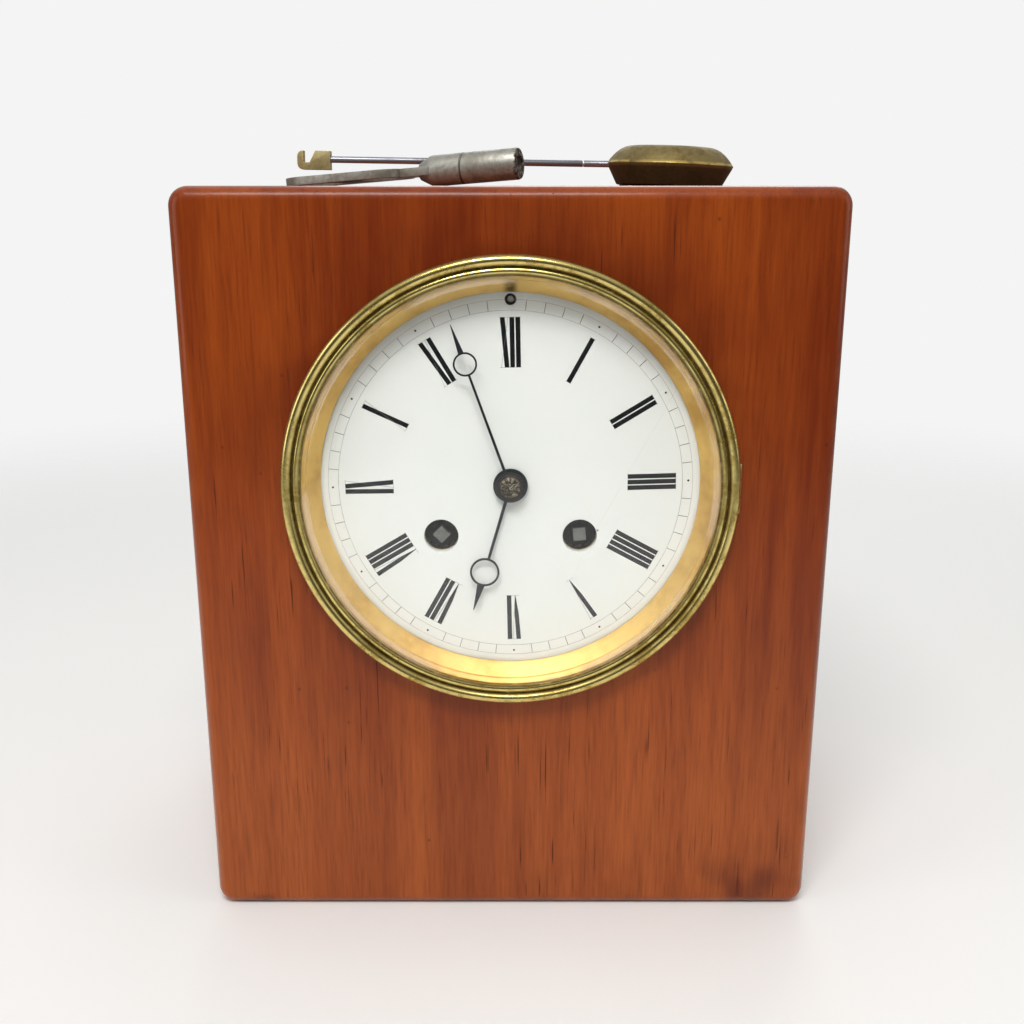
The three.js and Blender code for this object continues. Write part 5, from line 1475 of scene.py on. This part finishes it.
# %% Lying pieces
AXIS_UP = (-math.pi / 2, 0, 0)
AXIS_RIGHT = (0, 0, math.pi / 2)
BOB_LEAN = math.radians(2.2)
ROD_LEAN = math.radians(0.9)
BOB_UNDER = 6.0
BOB_FLAT = 15.5
BOB_LOW, BOB_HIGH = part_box("pendulum_bob")
BOB_RISE = (BOB_UNDER * math.cos(BOB_LEAN) + BOB_FLAT * math.sin(BOB_LEAN)) * MM
PENDULUM = Vector((
    (BOB_LOW.x + BOB_HIGH.x) / 2 - 0.07 * MM, (BOB_LOW.y + BOB_HIGH.y) / 2, BOB_LOW.z + BOB_RISE,
))


def stood(obj, turn):
    """Turns a lathe piece so that its heights run along another axis."""
    obj.rotation_euler = turn
    settle(obj)
    return obj


def laid(obj, lean, place=PENDULUM, heading=0.0):
    """Leans a piece about y, heads it round z and moves it to its place."""
    obj.rotation_euler = (0, lean, heading)
    obj.location = place
    settle(obj)
    return obj


print("pendulum lies at", [round(v / MM, 1) for v in PENDULUM])

# %% Bob finish and bob
bob_finish = BOB_BRONZE
rim_height = (bob_finish.z - PENDULUM.z + (bob_finish.x - PENDULUM.x) * math.tan(BOB_LEAN)) * (1 / MM)
# Painted shade: below the rim the lower cone is coloured far darker, standing in for its own shade. It is
# also made a little rougher.
underside_painted_shade = 1 - rim_height.between(-1.2, -0.3)
bob_colour = (underside_painted_shade * 0.78).mixed(bob_finish.colour, screen(62, 44, 24))
# Painted highlight: a bright gold band along the rim, broken up by noise, where the rim catches the light.
# The band is also made smoother.
rim_painted_highlight = rim_height.near(0.25, 0.62) * bob_finish.noise(260, 3, 0.6).between(0.30, 0.55)
bob_colour = (rim_painted_highlight * 0.8).mixed(bob_colour, screen(214, 186, 104))
bob_finish.wear(
    Base_Color=bob_colour,
    Roughness=0.56 + bob_finish.patches * 0.12 + underside_painted_shade * 0.10 - rim_painted_highlight * 0.25,
)
bob_section = [
    (0, -BOB_UNDER + 0.8),
    (11.2, -BOB_UNDER + 0.8),
    (11.7, -BOB_UNDER),
    (BOB_FLAT - 0.3, -BOB_UNDER),
    (BOB_FLAT, -BOB_UNDER + 0.2),
    (18.20, -0.75),
    *arc(18.15, -0.05, 0.35, -50, 60, 6),
    (17.55, 1.35),
    (16.75, 2.30),
    (15.80, 3.22),
    (14.70, 4.05),
    (13.60, 4.62),
    (12.60, 4.92),
    (11.80, 5.0),
    (0, 5.0),
]
bob = stood(turned("pendulum_bob_lens", bob_section, 128), AXIS_UP)
cut_away(bob, rod("rod_way", 1.55 * MM, (-20.5 * MM, 0, 0), (4.5 * MM, 0, 0), 40))
CLAMP_X = -13.2
cut_away(bob, rod("screw_way", 1.25 * MM, (CLAMP_X * MM, 0, -7 * MM), (CLAMP_X * MM, 0, -1.8 * MM), 32))
soften(bob, 24)
hand_over(laid(bob, BOB_LEAN), bob_finish, "pendulum", SLOT_OF["pendulum_bob"], "pendulum_bob")

# %% [markdown]
# ### Clamp screw, rod and hook
#
# The rod is a steel wire with one fine ring groove near the bob, and a painted highlight along that groove.
# The hook is a small brass
# block sawn open at its top: its notch slopes on one side so that it can be hung on the
# suspension by feel, and its left horn is filed round.

# %% Clamp screw and rod
screw_section = [
    (0, -6.9), (1.15, -6.9), (1.35, -6.7), (1.35, -6.15),
    (1.25, -6.05), (0.95, -6.05), (0.95, -2.1), (0, -2.1),
]
clamp = stood(turned("bob_clamp_screw_slotted", screw_section, 32), AXIS_UP)
clamp.location.x = CLAMP_X * MM
settle(clamp)
cut_away(clamp, block(
    "slot_tool",
    ((CLAMP_X - 2) * MM, -0.2 * MM, -7.2 * MM), ((CLAMP_X + 2) * MM, 0.2 * MM, -6.5 * MM),
))
soften(clamp, 35)
hand_over(laid(clamp, BOB_LEAN), PIN_STEEL, "pendulum", SLOT_OF["bob_clamp_screw"], "bob_clamp_screw")

RING_MARK = -25.6
rod_section = [
    (0, -103.5), (0.75, -103.5), (0.95, -103.3),
    (0.95, RING_MARK - 0.25), (0.86, RING_MARK - 0.12), (0.86, RING_MARK + 0.12), (0.95, RING_MARK + 0.25),
    (0.95, 3.3), (0.75, 3.5), (0, 3.5),
]
# Painted highlight: a bright band of colour round the rod at its ring groove.
ring_highlight_painted = (ROD_STEEL.x - (PENDULUM.x + RING_MARK * MM)).size().between(0.16 * MM, 0.34 * MM)
rod_colour = ring_highlight_painted.mixed(screen(226, 226, 222), ROD_STEEL.colour)
ROD_STEEL.wear(Base_Color=rod_colour)
pendulum_rod = stood(turned("pendulum_rod_wire", rod_section, 40), AXIS_RIGHT)
soften(pendulum_rod, 35)
hand_over(laid(pendulum_rod, ROD_LEAN), ROD_STEEL, "pendulum", SLOT_OF["pendulum_rod"], "pendulum_rod")

# %% Hook
HOOK_LEFT, HOOK_RIGHT, HOOK_HALF, HOOK_TOP, HOOK_THICK = -109.7, -100.0, 3.0, 2.4, 3.4
hook = block(
    "pendulum_hook_filed",
    (HOOK_LEFT * MM, -HOOK_THICK / 2 * MM, -HOOK_HALF * MM),
    (HOOK_RIGHT * MM, HOOK_THICK / 2 * MM, HOOK_TOP * MM),
)


def is_left_cross(edge):
    return abs(edge_way(edge).y) > 0.9 and edge.verts[0].co.x < (HOOK_LEFT + 1) * MM


pick(hook, "edges", is_left_cross)
bpy.ops.mesh.bevel(offset=1.7 * MM, segments=7, profile=0.5, affect="EDGES")
done_editing()
notch = block("notch_tool", (-107.9 * MM, -3 * MM, -0.9 * MM), (-106.1 * MM, 3 * MM, 4 * MM))
pick(notch, "verts", lambda vert: vert.co.z > 0 and vert.co.x > -107 * MM)
bpy.ops.transform.translate(value=(2.6 * MM, 0, 0))
done_editing()
cut_away(hook, notch)
cut_away(hook, rod("seat_tool", 1.25 * MM, (-103.8 * MM, 0, 0), (-99 * MM, 0, 0), 32))
ease_edges(hook, 0.28, 3, 40)
soften(hook, 40)
HOOK_BRASS = metal(
    "hook_brass", screen(196, 180, 130), screen(146, 130, 84), screen(60, 46, 26),
    tarnished=0.8, pitted=0.6, rough=0.44, lines="none", line_depth=0.02, pit_scale=900, metallic=0.75,
)
hand_over(laid(hook, ROD_LEAN), HOOK_BRASS, "pendulum", SLOT_OF["pendulum_hook"], "pendulum_hook")

# %% [markdown]
# ## The winding key
#
# A steel key with a round barrel and a flat bow let into its neck. The bow is cut from a
# plate: a block with a rounded end, a narrower tongue, and two oval eyes. The barrel is
# turned with one fine ring line, and its mouth is dark and ragged from a century of use.

# %% Barrel and bow of the key
KEY_RADIUS = 4.15
KEY_LONG = 25.0
KEY_BOW_END = -44.5
KEY_BOW_HALF = 9.5
KEY_PLATE = 2.2
KEY_PITCH = math.atan((KEY_RADIUS - KEY_PLATE / 2) / -KEY_BOW_END)
KEY_YAW = math.radians(-19)
KEY_TIP = Vector((2.6 * MM, -30.0 * MM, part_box("winding_key")[0].z + KEY_RADIUS * math.cos(KEY_PITCH) * MM))
KEY_NECK = KEY_TIP - Vector((math.cos(KEY_YAW), math.sin(KEY_YAW), 0)) * KEY_LONG * MM
key_section = [
    (0, -4.0), (1.7, -4.0), (2.3, -3.6), (4.0, -0.35), (4.12, 0.1),
    (4.15, 2.35), (4.07, 2.45), (4.15, 2.55),
    (4.15, 8.85), (3.93, 9.0), (3.93, 9.25), (4.15, 9.4),
    (4.15, 24.3), (3.95, 24.85), (3.6, 25.0), (0, 25.0),
]
key = stood(turned("winding_key_two_eyed", key_section, 64), AXIS_RIGHT)
plate = block(
    "key_plate",
    (KEY_BOW_END * MM, -KEY_BOW_HALF * MM, -KEY_PLATE / 2 * MM),
    (-8 * MM, KEY_BOW_HALF * MM, KEY_PLATE / 2 * MM),
)


def upright_at(place, side):
    """A test for the plate's short upright edges at one end."""

    def test(edge):
        return abs(edge_way(edge).z) > 0.9 and (edge.verts[0].co.x - place * MM) * side > -SKIN

    return test


pick(plate, "edges", upright_at(KEY_BOW_END, -1))
bpy.ops.mesh.bevel(offset=9.3 * MM, segments=14, profile=0.5, affect="EDGES")
done_editing()
pick(plate, "edges", upright_at(-8, 1))
bpy.ops.mesh.bevel(offset=5.5 * MM, segments=8, profile=0.5, affect="EDGES")
done_editing()
tongue = block(
    "key_tongue",
    (-9.5 * MM, -4.6 * MM, -KEY_PLATE / 2 * MM), (1.0 * MM, 4.6 * MM, KEY_PLATE / 2 * MM),
)
pick(tongue, "edges", upright_at(1.0, 1))
bpy.ops.mesh.bevel(offset=1.9 * MM, segments=6, profile=0.5, affect="EDGES")
done_editing()
fuse(plate, tongue)
for eye_x, eye_half in ((-15.6, 5.6), (-34.2, 6.4)):
    eye = rod("eye_tool", 6.2 * MM, (0, 0, -3 * MM), (0, 0, 3 * MM), 64)
    eye.scale.x = eye_half / 6.2
    eye.location.x = eye_x * MM
    settle(eye)
    cut_away(plate, eye)
ease_edges(plate, 0.42, 3, 40)
fuse(key, plate)
SOCKET = 1.9 * MM
cut_away(key, block("socket_tool", (11 * MM, -SOCKET, -SOCKET), (26 * MM, SOCKET, SOCKET)))
cut_away(key, rod("mouth_tool", 2.35 * MM, (23.6 * MM, 0, 0), (26 * MM, 0, 0), 40))
soften(key, 32)

# %% Key finish
along_x, along_y = math.cos(KEY_YAW), math.sin(KEY_YAW)
from_neck = ((KEY_STEEL.x - KEY_NECK.x) * along_x + (KEY_STEEL.y - KEY_NECK.y) * along_y) * (1 / MM)
ring_line = from_neck.near(9.12, 0.42)
mouth = from_neck.between(24.1, 24.7)
mouth_dirt = mouth * KEY_STEEL.noise(900, 4, 0.7).between(0.38, 0.56)
bow_dull = 1 - from_neck.between(-9, 1)
key_colour = (ring_line * 0.8).mixed(KEY_STEEL.colour, screen(62, 52, 40))
key_colour = (mouth_dirt * 0.85).mixed(key_colour, screen(52, 46, 40))
bow_stain = bow_dull * KEY_STEEL.noise(180, 4, 0.6).between(0.40, 0.65)
key_colour = (bow_stain * 0.6).mixed(key_colour, screen(122, 116, 100))
KEY_STEEL.wear(
    Base_Color=key_colour,
    Roughness=0.46 + KEY_STEEL.patches * 0.12 + mouth_dirt * 0.3 + ring_line * 0.2,
)
hand_over(laid(key, -KEY_PITCH, KEY_NECK, KEY_YAW), KEY_STEEL, "key", SLOT_OF["winding_key"], "winding_key")

# %% [markdown]
# ## The ring behind the bezel
#
# The dial ring is a thin spun sleeve let into the front board, with a flange that lies on
# the wood and carries the bezel's hinge. Two lugs inside take the long strap screws that
# pull the front and rear rings together.

# %% Dial ring
RING_LOW, RING_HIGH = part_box("dial_ring")
FLANGE = (DIAL_X - RING_LOW.x) / MM
SLEEVE_OUT = FLANGE - 1.4
SLEEVE_IN = SLEEVE_OUT - 1.0
SLEEVE_END = height_of(RING_HIGH.y)
ring_section = [
    (SLEEVE_IN, 0.75),
    (SLEEVE_IN + 0.15, 0.9),
    (FLANGE - 0.2, 0.9),
    *arc(FLANGE - 0.2, 0.7, 0.2, 80, 0, 4),
    (FLANGE, 0.0),
    (SLEEVE_OUT, 0.0),
    (SLEEVE_OUT, SLEEVE_END + 0.1),
    (SLEEVE_OUT - 0.1, SLEEVE_END),
    (SLEEVE_IN, SLEEVE_END),
]
dial_ring = at_dial(turned("dial_ring_flanged", ring_section, 192, ring=True))
STRAPS = []
for node in ("strap_screw_left", "strap_screw_right"):
    low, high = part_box(node)
    STRAPS.append(Vector(((low.x + high.x) / 2, 0, (low.z + high.z) / 2)))
LUG_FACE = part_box("strap_screw_left")[0].y - 0.8 * MM
for strap in STRAPS:
    out = Vector((strap.x - DIAL_X, 0, strap.z - DIAL_Z))
    lug = block(
        "lug",
        (out.length - 3 * MM, LUG_FACE, -3.5 * MM),
        ((SLEEVE_IN + 0.5) * MM, LUG_FACE + 3 * MM, 3.5 * MM),
    )
    ease_edges(lug, 0.3, 2, 40)
    lug.rotation_euler = (0, math.atan2(-out.z, out.x), 0)
    lug.location = (DIAL_X, 0, DIAL_Z)
    settle(lug)
    cut_away(lug, rod(
        "bore_tool", 1.5 * MM,
        (strap.x, LUG_FACE - MM, strap.z), (strap.x, LUG_FACE + 4 * MM, strap.z), 32,
    ))
    fuse(dial_ring, lug)
leaf_half = KNUCKLE_LONG / 2
leaf_plate = block(
    "hinge_leaf", (DIAL_X + (FLANGE - 1) * MM, at_height(0.85), HINGE.z - leaf_half),
    (HINGE.x, at_height(0.12), HINGE.z + leaf_half),
)
fuse(dial_ring, leaf_plate)
fuse(dial_ring, knuckle("ring_knuckle", KNUCKLE, -leaf_half, leaf_half))
soften(dial_ring, 30)
hand_over(dial_ring, RING_BRASS, BODY_OF["dial_ring"], SLOT_OF["dial_ring"], "dial_ring")

# %% [markdown]
# ### Pins and long screws
#
# A hinge pin is wire with rounded ends. A strap screw is a long blued rod with a slotted
# cheese head, which was turned, rounded over and then sawn across.


# %% Pins and screws
def wire_pin(name, node):
    """A pin along z with its ends rounded, made to the size of its CAD node."""
    low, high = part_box(node)
    radius = (high.x - low.x) / 2
    pin = rod(name, radius, ((low.x + high.x) / 2, (low.y + high.y) / 2, low.z),
              ((low.x + high.x) / 2, (low.y + high.y) / 2, high.z), 32)
    ease_edges(pin, radius / MM * 0.5, 4, 60)
    soften(pin, 30)
    return hand_over(pin, PIN_STEEL, BODY_OF[node], SLOT_OF[node], node)


wire_pin("bezel_hinge_pin_wire", "bezel_hinge_pin")
wire_pin("rear_door_hinge_pin_wire", "rear_door_hinge_pin")

SCREW_BLUE = metal(
    "screw_blue", screen(62, 68, 92), screen(44, 42, 46), screen(84, 72, 60),
    tarnished=0.6, pitted=0.4, rough=0.26, lines="y", line_depth=0.005,
)
for strap, node in zip(STRAPS, ("strap_screw_left", "strap_screw_right")):
    low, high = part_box(node)
    tip, head = height_of(low.y), height_of(high.y)
    long_section = [
        (0, tip), (1.0, tip), (1.3, tip - 0.4), (1.3, head + 1.8), (2.55, head + 1.8), (2.7, head + 1.65),
        (2.7, head + 0.55), *arc(2.2, head + 0.5, 0.5, 0, -80, 4), (0, head),
    ]
    screw = turned(node + "_long", long_section, 40)
    screw.location = (strap.x, FACE, strap.z)
    settle(screw)
    saw = block("saw_tool", (strap.x - 3.2 * MM, high.y - 0.7 * MM, strap.z - 0.35 * MM),
                (strap.x + 3.2 * MM, high.y + MM, strap.z + 0.35 * MM))
    cut_away(screw, saw)
    soften(screw, 32)
    hand_over(screw, SCREW_BLUE, BODY_OF[node], SLOT_OF[node], node)

# %% [markdown]
# ## The rear ring and its door
#
# The same kind of ring at the back holds a thin brass door on a hinge. The door is turned
# as one disc with a shallow raised rim and a dished middle, so that light moves across it
# as it would on a spun sheet.

# %% Rear ring
REAR_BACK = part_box("back_board")[1].y
FLANGE_FACE = REAR_BACK + 1.2 * MM
OPENING = (REAR_RING_RADIUS / MM) - 10.4
OUTER = (REAR_RING_RADIUS / MM) - 4.2
WALL = 0.8
REAR_H, FLANGE_H = height_of(REAR_BACK), height_of(FLANGE_FACE)
SLEEVE_H = height_of(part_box("rear_ring")[0].y)
rear_section = [
    (OPENING, REAR_H), (OUTER - WALL, REAR_H), (OUTER - WALL, SLEEVE_H), (OUTER - 0.1, SLEEVE_H),
    (OUTER, SLEEVE_H - 0.1), (OUTER, REAR_H), (OUTER + 4.2, REAR_H), (OUTER + 4.2, FLANGE_H + 0.35),
    (OUTER + 3.9, FLANGE_H), (OPENING + 0.2, FLANGE_H), (OPENING, FLANGE_H + 0.2),
]
rear_ring = at_dial(turned("rear_ring_flanged", rear_section, 192, ring=True))
REAR_PIN_LOW, REAR_PIN_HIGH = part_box("rear_door_hinge_pin")
REAR_HINGE = (REAR_PIN_LOW + REAR_PIN_HIGH) / 2
REAR_LONG = 5.0


def rear_knuckle(low, high):
    obj = rod(
        "rear_knuckle", 1.1 * MM, (REAR_HINGE.x, REAR_HINGE.y, REAR_HINGE.z + low * MM),
        (REAR_HINGE.x, REAR_HINGE.y, REAR_HINGE.z + high * MM), 32,
    )
    ease_edges(obj, 0.12)
    return obj


def rear_leaf(x_low, x_high, y_low, y_high, low, high):
    return block(
        "rear_leaf", (x_low, y_low, REAR_HINGE.z + low * MM), (x_high, y_high, REAR_HINGE.z + high * MM)
    )


HALF = REAR_LONG / 2
ring_leaf = rear_leaf(
    REAR_HINGE.x - 2.6 * MM, REAR_HINGE.x, FLANGE_FACE - 0.4 * MM, REAR_HINGE.y - 0.7 * MM, -HALF, HALF
)
fuse(rear_ring, ring_leaf)
fuse(rear_ring, rear_knuckle(-HALF, HALF))
for strap in STRAPS:
    way = rod(
        "strap_way", 1.6 * MM,
        (strap.x, REAR_BACK - 2 * MM, strap.z), (strap.x, FLANGE_FACE + 2 * MM, strap.z), 32,
    )
    cut_away(rear_ring, way)
soften(rear_ring, 30)
hand_over(rear_ring, RING_BRASS, BODY_OF["rear_ring"], SLOT_OF["rear_ring"], "rear_ring")

# %% Rear door
DOOR_RADIUS = OPENING - 0.7
DOOR_H = height_of(FLANGE_FACE + 0.7 * MM)
door_section = [
    (0, DOOR_H + 1.0), (DOOR_RADIUS - 0.1, DOOR_H + 1.0),
    (DOOR_RADIUS, DOOR_H + 0.9), (DOOR_RADIUS, DOOR_H + 0.15),
    (DOOR_RADIUS - 0.15, DOOR_H), (DOOR_RADIUS - 2.2, DOOR_H), (DOOR_RADIUS - 2.6, DOOR_H + 0.28),
    (DOOR_RADIUS - 3.1, DOOR_H + 0.32), (20, DOOR_H + 0.42), (0, DOOR_H + 0.45),
]
door = at_dial(turned("rear_door_spun", door_section, 160))
for side in (-1, 1):
    near, far = sorted((side * (HALF + 0.2), side * 3 * HALF))
    hinge_leaf = rear_leaf(
        REAR_HINGE.x + 0.2 * MM, REAR_HINGE.x + 5 * MM,
        FLANGE_FACE + 0.2 * MM, REAR_HINGE.y - 0.2 * MM, near, far,
    )
    ease_edges(hinge_leaf, 0.15, 2, 40)
    fuse(door, hinge_leaf)
    fuse(door, rear_knuckle(near, far))
knob_section = [
    (0, DOOR_H + 0.5), (1.4, DOOR_H + 0.5), (1.4, DOOR_H - 1.5), (1.7, DOOR_H - 1.75), (2.9, DOOR_H - 2.15),
    *arc(2.65, DOOR_H - 3.0, 0.55, 60, -60, 8),
    (2.3, DOOR_H - 4.25), (1.6, DOOR_H - 4.4), (0, DOOR_H - 4.4),
]
knob = at_dial(turned("rear_door_knob", knob_section, 48))
knob.location.x = (DOOR_RADIUS - 6) * MM
settle(knob)
fuse(door, knob)
soften(door, 26)
hand_over(door, RING_BRASS, BODY_OF["rear_door"], SLOT_OF["rear_door"], "rear_door")

# %% [markdown]
# ## Bell, nut and the movement
#
# The bell is a cup spun from two arcs with a rolled lip. The nut is a six-sided bar with
# its corners turned off. The wheels, plates and arbors of the movement are already cut
# exactly in the frame, tooth by tooth, so copying them is better than cutting them again:
# each copy is welded, its flat faces are cleaned, and its sharp edges are broken so that
# they catch the light.

# %% Bell
BELL_LOW, BELL_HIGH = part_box("bell")
BELL_Z = (BELL_LOW.z + BELL_HIGH.z) / 2
BELL_RADIUS = (BELL_HIGH.x - BELL_LOW.x) / 2 / MM
BELL_DEEP = (BELL_HIGH.y - BELL_LOW.y) / MM
BELL_MOUTH = height_of(BELL_LOW.y)
BELL_CROWN = 4.0
BELL_THICK = 1.4
BELL_BORE = 1.6


def cup(radius, depth, start, end, steps=20):
    """Points of the cup's side, from the lip to the crown."""
    angles = [math.radians(start + (end - start) * i / steps) for i in range(steps + 1)]
    return [(BELL_CROWN + radius * math.cos(a), BELL_MOUTH - depth * math.sin(a)) for a in angles]


bell_section = [
    (BELL_BORE, BELL_MOUTH - BELL_DEEP),
    *reversed(cup(BELL_RADIUS - BELL_CROWN, BELL_DEEP, 1.5, 90)),
    (BELL_RADIUS - 0.1, BELL_MOUTH - 0.1),
    (BELL_RADIUS - 0.4, BELL_MOUTH),
    (BELL_RADIUS - BELL_THICK + 0.1, BELL_MOUTH),
    *cup(BELL_RADIUS - BELL_CROWN - BELL_THICK, BELL_DEEP - BELL_THICK, 1.0, 90),
    (BELL_BORE, BELL_MOUTH - BELL_DEEP + BELL_THICK),
]
bell = turned("bell_spun", bell_section, 128, ring=True)
bell.location = ((BELL_LOW.x + BELL_HIGH.x) / 2, FACE, BELL_Z)
settle(bell)
soften(bell, 30)
hand_over(bell, BELL_METAL, BODY_OF["bell"], SLOT_OF["bell"], "bell")


# %% Refined copies of the cut pieces
def refined(name, node, finish, ease=0.07, smooth=34):
    """A welded, cleaned and eased copy of a frame piece, with its own material."""
    source = NODES[node]
    obj = bpy.data.objects.new(name, source.data.copy())
    bpy.context.scene.collection.objects.link(obj)
    obj.matrix_world = source.matrix_world
    settle(obj)
    pick_all(obj)
    bpy.ops.mesh.customdata_custom_splitnormals_clear()
    bpy.ops.mesh.remove_doubles(threshold=1e-6)
    bpy.ops.mesh.dissolve_limited(angle_limit=math.radians(0.6))
    bpy.ops.mesh.normals_make_consistent(inside=False)
    done_editing()
    if ease:
        ease_edges(obj, ease, 1, 42)
    soften(obj, smooth)
    return hand_over(obj, finish, BODY_OF[node], SLOT_OF[node], node)


def axis_of(node):
    """x and z of the middle of a node, which is its arbor when the piece is round."""
    low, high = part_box(node)
    return (low.x + high.x) / 2, (low.z + high.z) / 2


def wheel_finish(node, steel_radius):
    """Brass with a steel arbor and pinion inside steel_radius, both turned about the same axis."""
    centre = axis_of(node)
    f = metal(
        node + "_metal", screen(232, 196, 112), screen(184, 138, 66), screen(84, 60, 30),
        tarnished=0.45, pitted=0.25, rough=0.24, centre=centre, line_depth=0.006,
    )
    steel = 1 - (f.from_middle(*centre) * (1 / MM)).between(steel_radius - 0.05, steel_radius + 0.05)
    steel_colour = (f.patches * 0.5).mixed(screen(182, 181, 176), screen(128, 120, 108))
    return f.wear(Base_Color=steel.mixed(f.colour, steel_colour))


WHEELS = (
    ("intermediate_wheel", 2.6), ("centre_wheel", 2.5), ("third_wheel", 1.9), ("escape_wheel", 1.7),
    ("strike_second_wheel", 2.6), ("pin_wheel", 2.0), ("warning_wheel", 1.8), ("minute_wheel", 2.2),
    ("hour_wheel", 3.2), ("going_barrel", 2.4), ("strike_barrel", 2.4),
)
for node, steel_radius in WHEELS:
    refined(node + "_cut", node, wheel_finish(node, steel_radius), 0.05)

ARBOR_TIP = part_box("going_winding_arbor")[0].y
WINDING_STEEL = metal(
    "winding_square_steel", screen(150, 150, 148), screen(98, 94, 88), screen(52, 46, 42),
    tarnished=0.6, pitted=0.6, rough=0.36, lines="y", line_depth=0.006,
)
REGULATOR_STEEL = metal(
    "regulator_square_steel", screen(176, 174, 168), screen(120, 114, 106), screen(60, 52, 44),
    tarnished=0.6, pitted=0.6, rough=0.4, lines="y", line_depth=0.006, metallic=0.5,
)
# Painted shade: a little way back from its tip, each winding square turns near black, standing in for the
# dark inside the dial's hole. It is also made rougher.
painted_hole_shade = (WINDING_STEEL.y - ARBOR_TIP).between(0.2 * MM, 3.5 * MM)
WINDING_STEEL.wear(
    Base_Color=(painted_hole_shade * 0.94).mixed(WINDING_STEEL.colour, screen(20, 18, 17)),
    Roughness=0.36 + painted_hole_shade * 0.4,
)

SPRING_BLUE = metal(
    "spring_blue", screen(58, 66, 98), screen(60, 58, 62), screen(92, 76, 56),
    tarnished=0.7, pitted=0.3, rough=0.22, lines="y", line_depth=0.004,
)
POLISHED_NUT = metal(
    "nut_brass", screen(224, 188, 106), screen(170, 128, 62), screen(80, 58, 30),
    tarnished=0.5, pitted=0.3, rough=0.22, lines="none",
)
MOVEMENT = (
    ("front_plate", BRASS, 0.12), ("back_plate", BRASS, 0.12), ("dial_plate", RING_BRASS, 0.1),
    ("pillar_lower_left", BRASS, 0.15), ("pillar_lower_right", BRASS, 0.15),
    ("pillar_upper_left", BRASS, 0.15), ("pillar_upper_right", BRASS, 0.15),
    ("going_mainspring", SPRING_BLUE, 0), ("strike_mainspring", SPRING_BLUE, 0),
    ("going_winding_arbor", WINDING_STEEL, 0.1), ("strike_winding_arbor", WINDING_STEEL, 0.1),
    ("cannon_pinion", STEEL, 0.04), ("pallets_and_crutch", STEEL, 0.05), ("fly", WHEEL_BRASS, 0.05),
    ("back_cock", BRASS, 0.15), ("regulator_arbor", REGULATOR_STEEL, 0.06),
    ("regulator_screw", PIN_STEEL, 0.06),
    ("regulator_slider", WHEEL_BRASS, 0.12), ("suspension_spring", SPRING_BLUE, 0.03),
    ("suspension_block", WHEEL_BRASS, 0.12), ("hammer", STEEL, 0.1), ("bell_stand", STEEL, 0.12),
    ("bell_nut", POLISHED_NUT, 0.3),
)
for node, finish, ease in MOVEMENT:
    refined(node + "_filed", node, finish, ease)
print("movement pieces:", len(MOVEMENT) + len(WHEELS))


# %% [markdown]
# ## The table that the clock stands on
#
# One large pale disc, lying a hair under the clock. It turns clear towards its rim, so that
# no edge of it shows where it meets the studio behind.

# %% Table
TABLE_RADIUS = 2.0
TABLE_GAP = 0.02 * MM
FADE_STARTS, FADE_ENDS = 0.26, 0.85
table_finish = Finish("pale_table", IOR=1.4, Roughness=0.6)
flat_x, flat_y = table_finish.x, table_finish.y
from_clock = (flat_x * flat_x + flat_y * flat_y) ** 0.5
table_shade = table_finish.noise(3.0, 3, 0.5).mixed(screen(243, 243, 241), screen(248, 248, 247))
table_finish.wear(Base_Color=table_shade, Alpha=1 - from_clock.between(FADE_STARTS, FADE_ENDS))
bpy.ops.mesh.primitive_circle_add(
    vertices=96, radius=TABLE_RADIUS, fill_type="NGON", location=(0, 0, CASE_LOW.z - TABLE_GAP)
)
tabletop = bpy.context.object
tabletop.name = "tabletop"
tabletop.data.materials.append(table_finish.material)
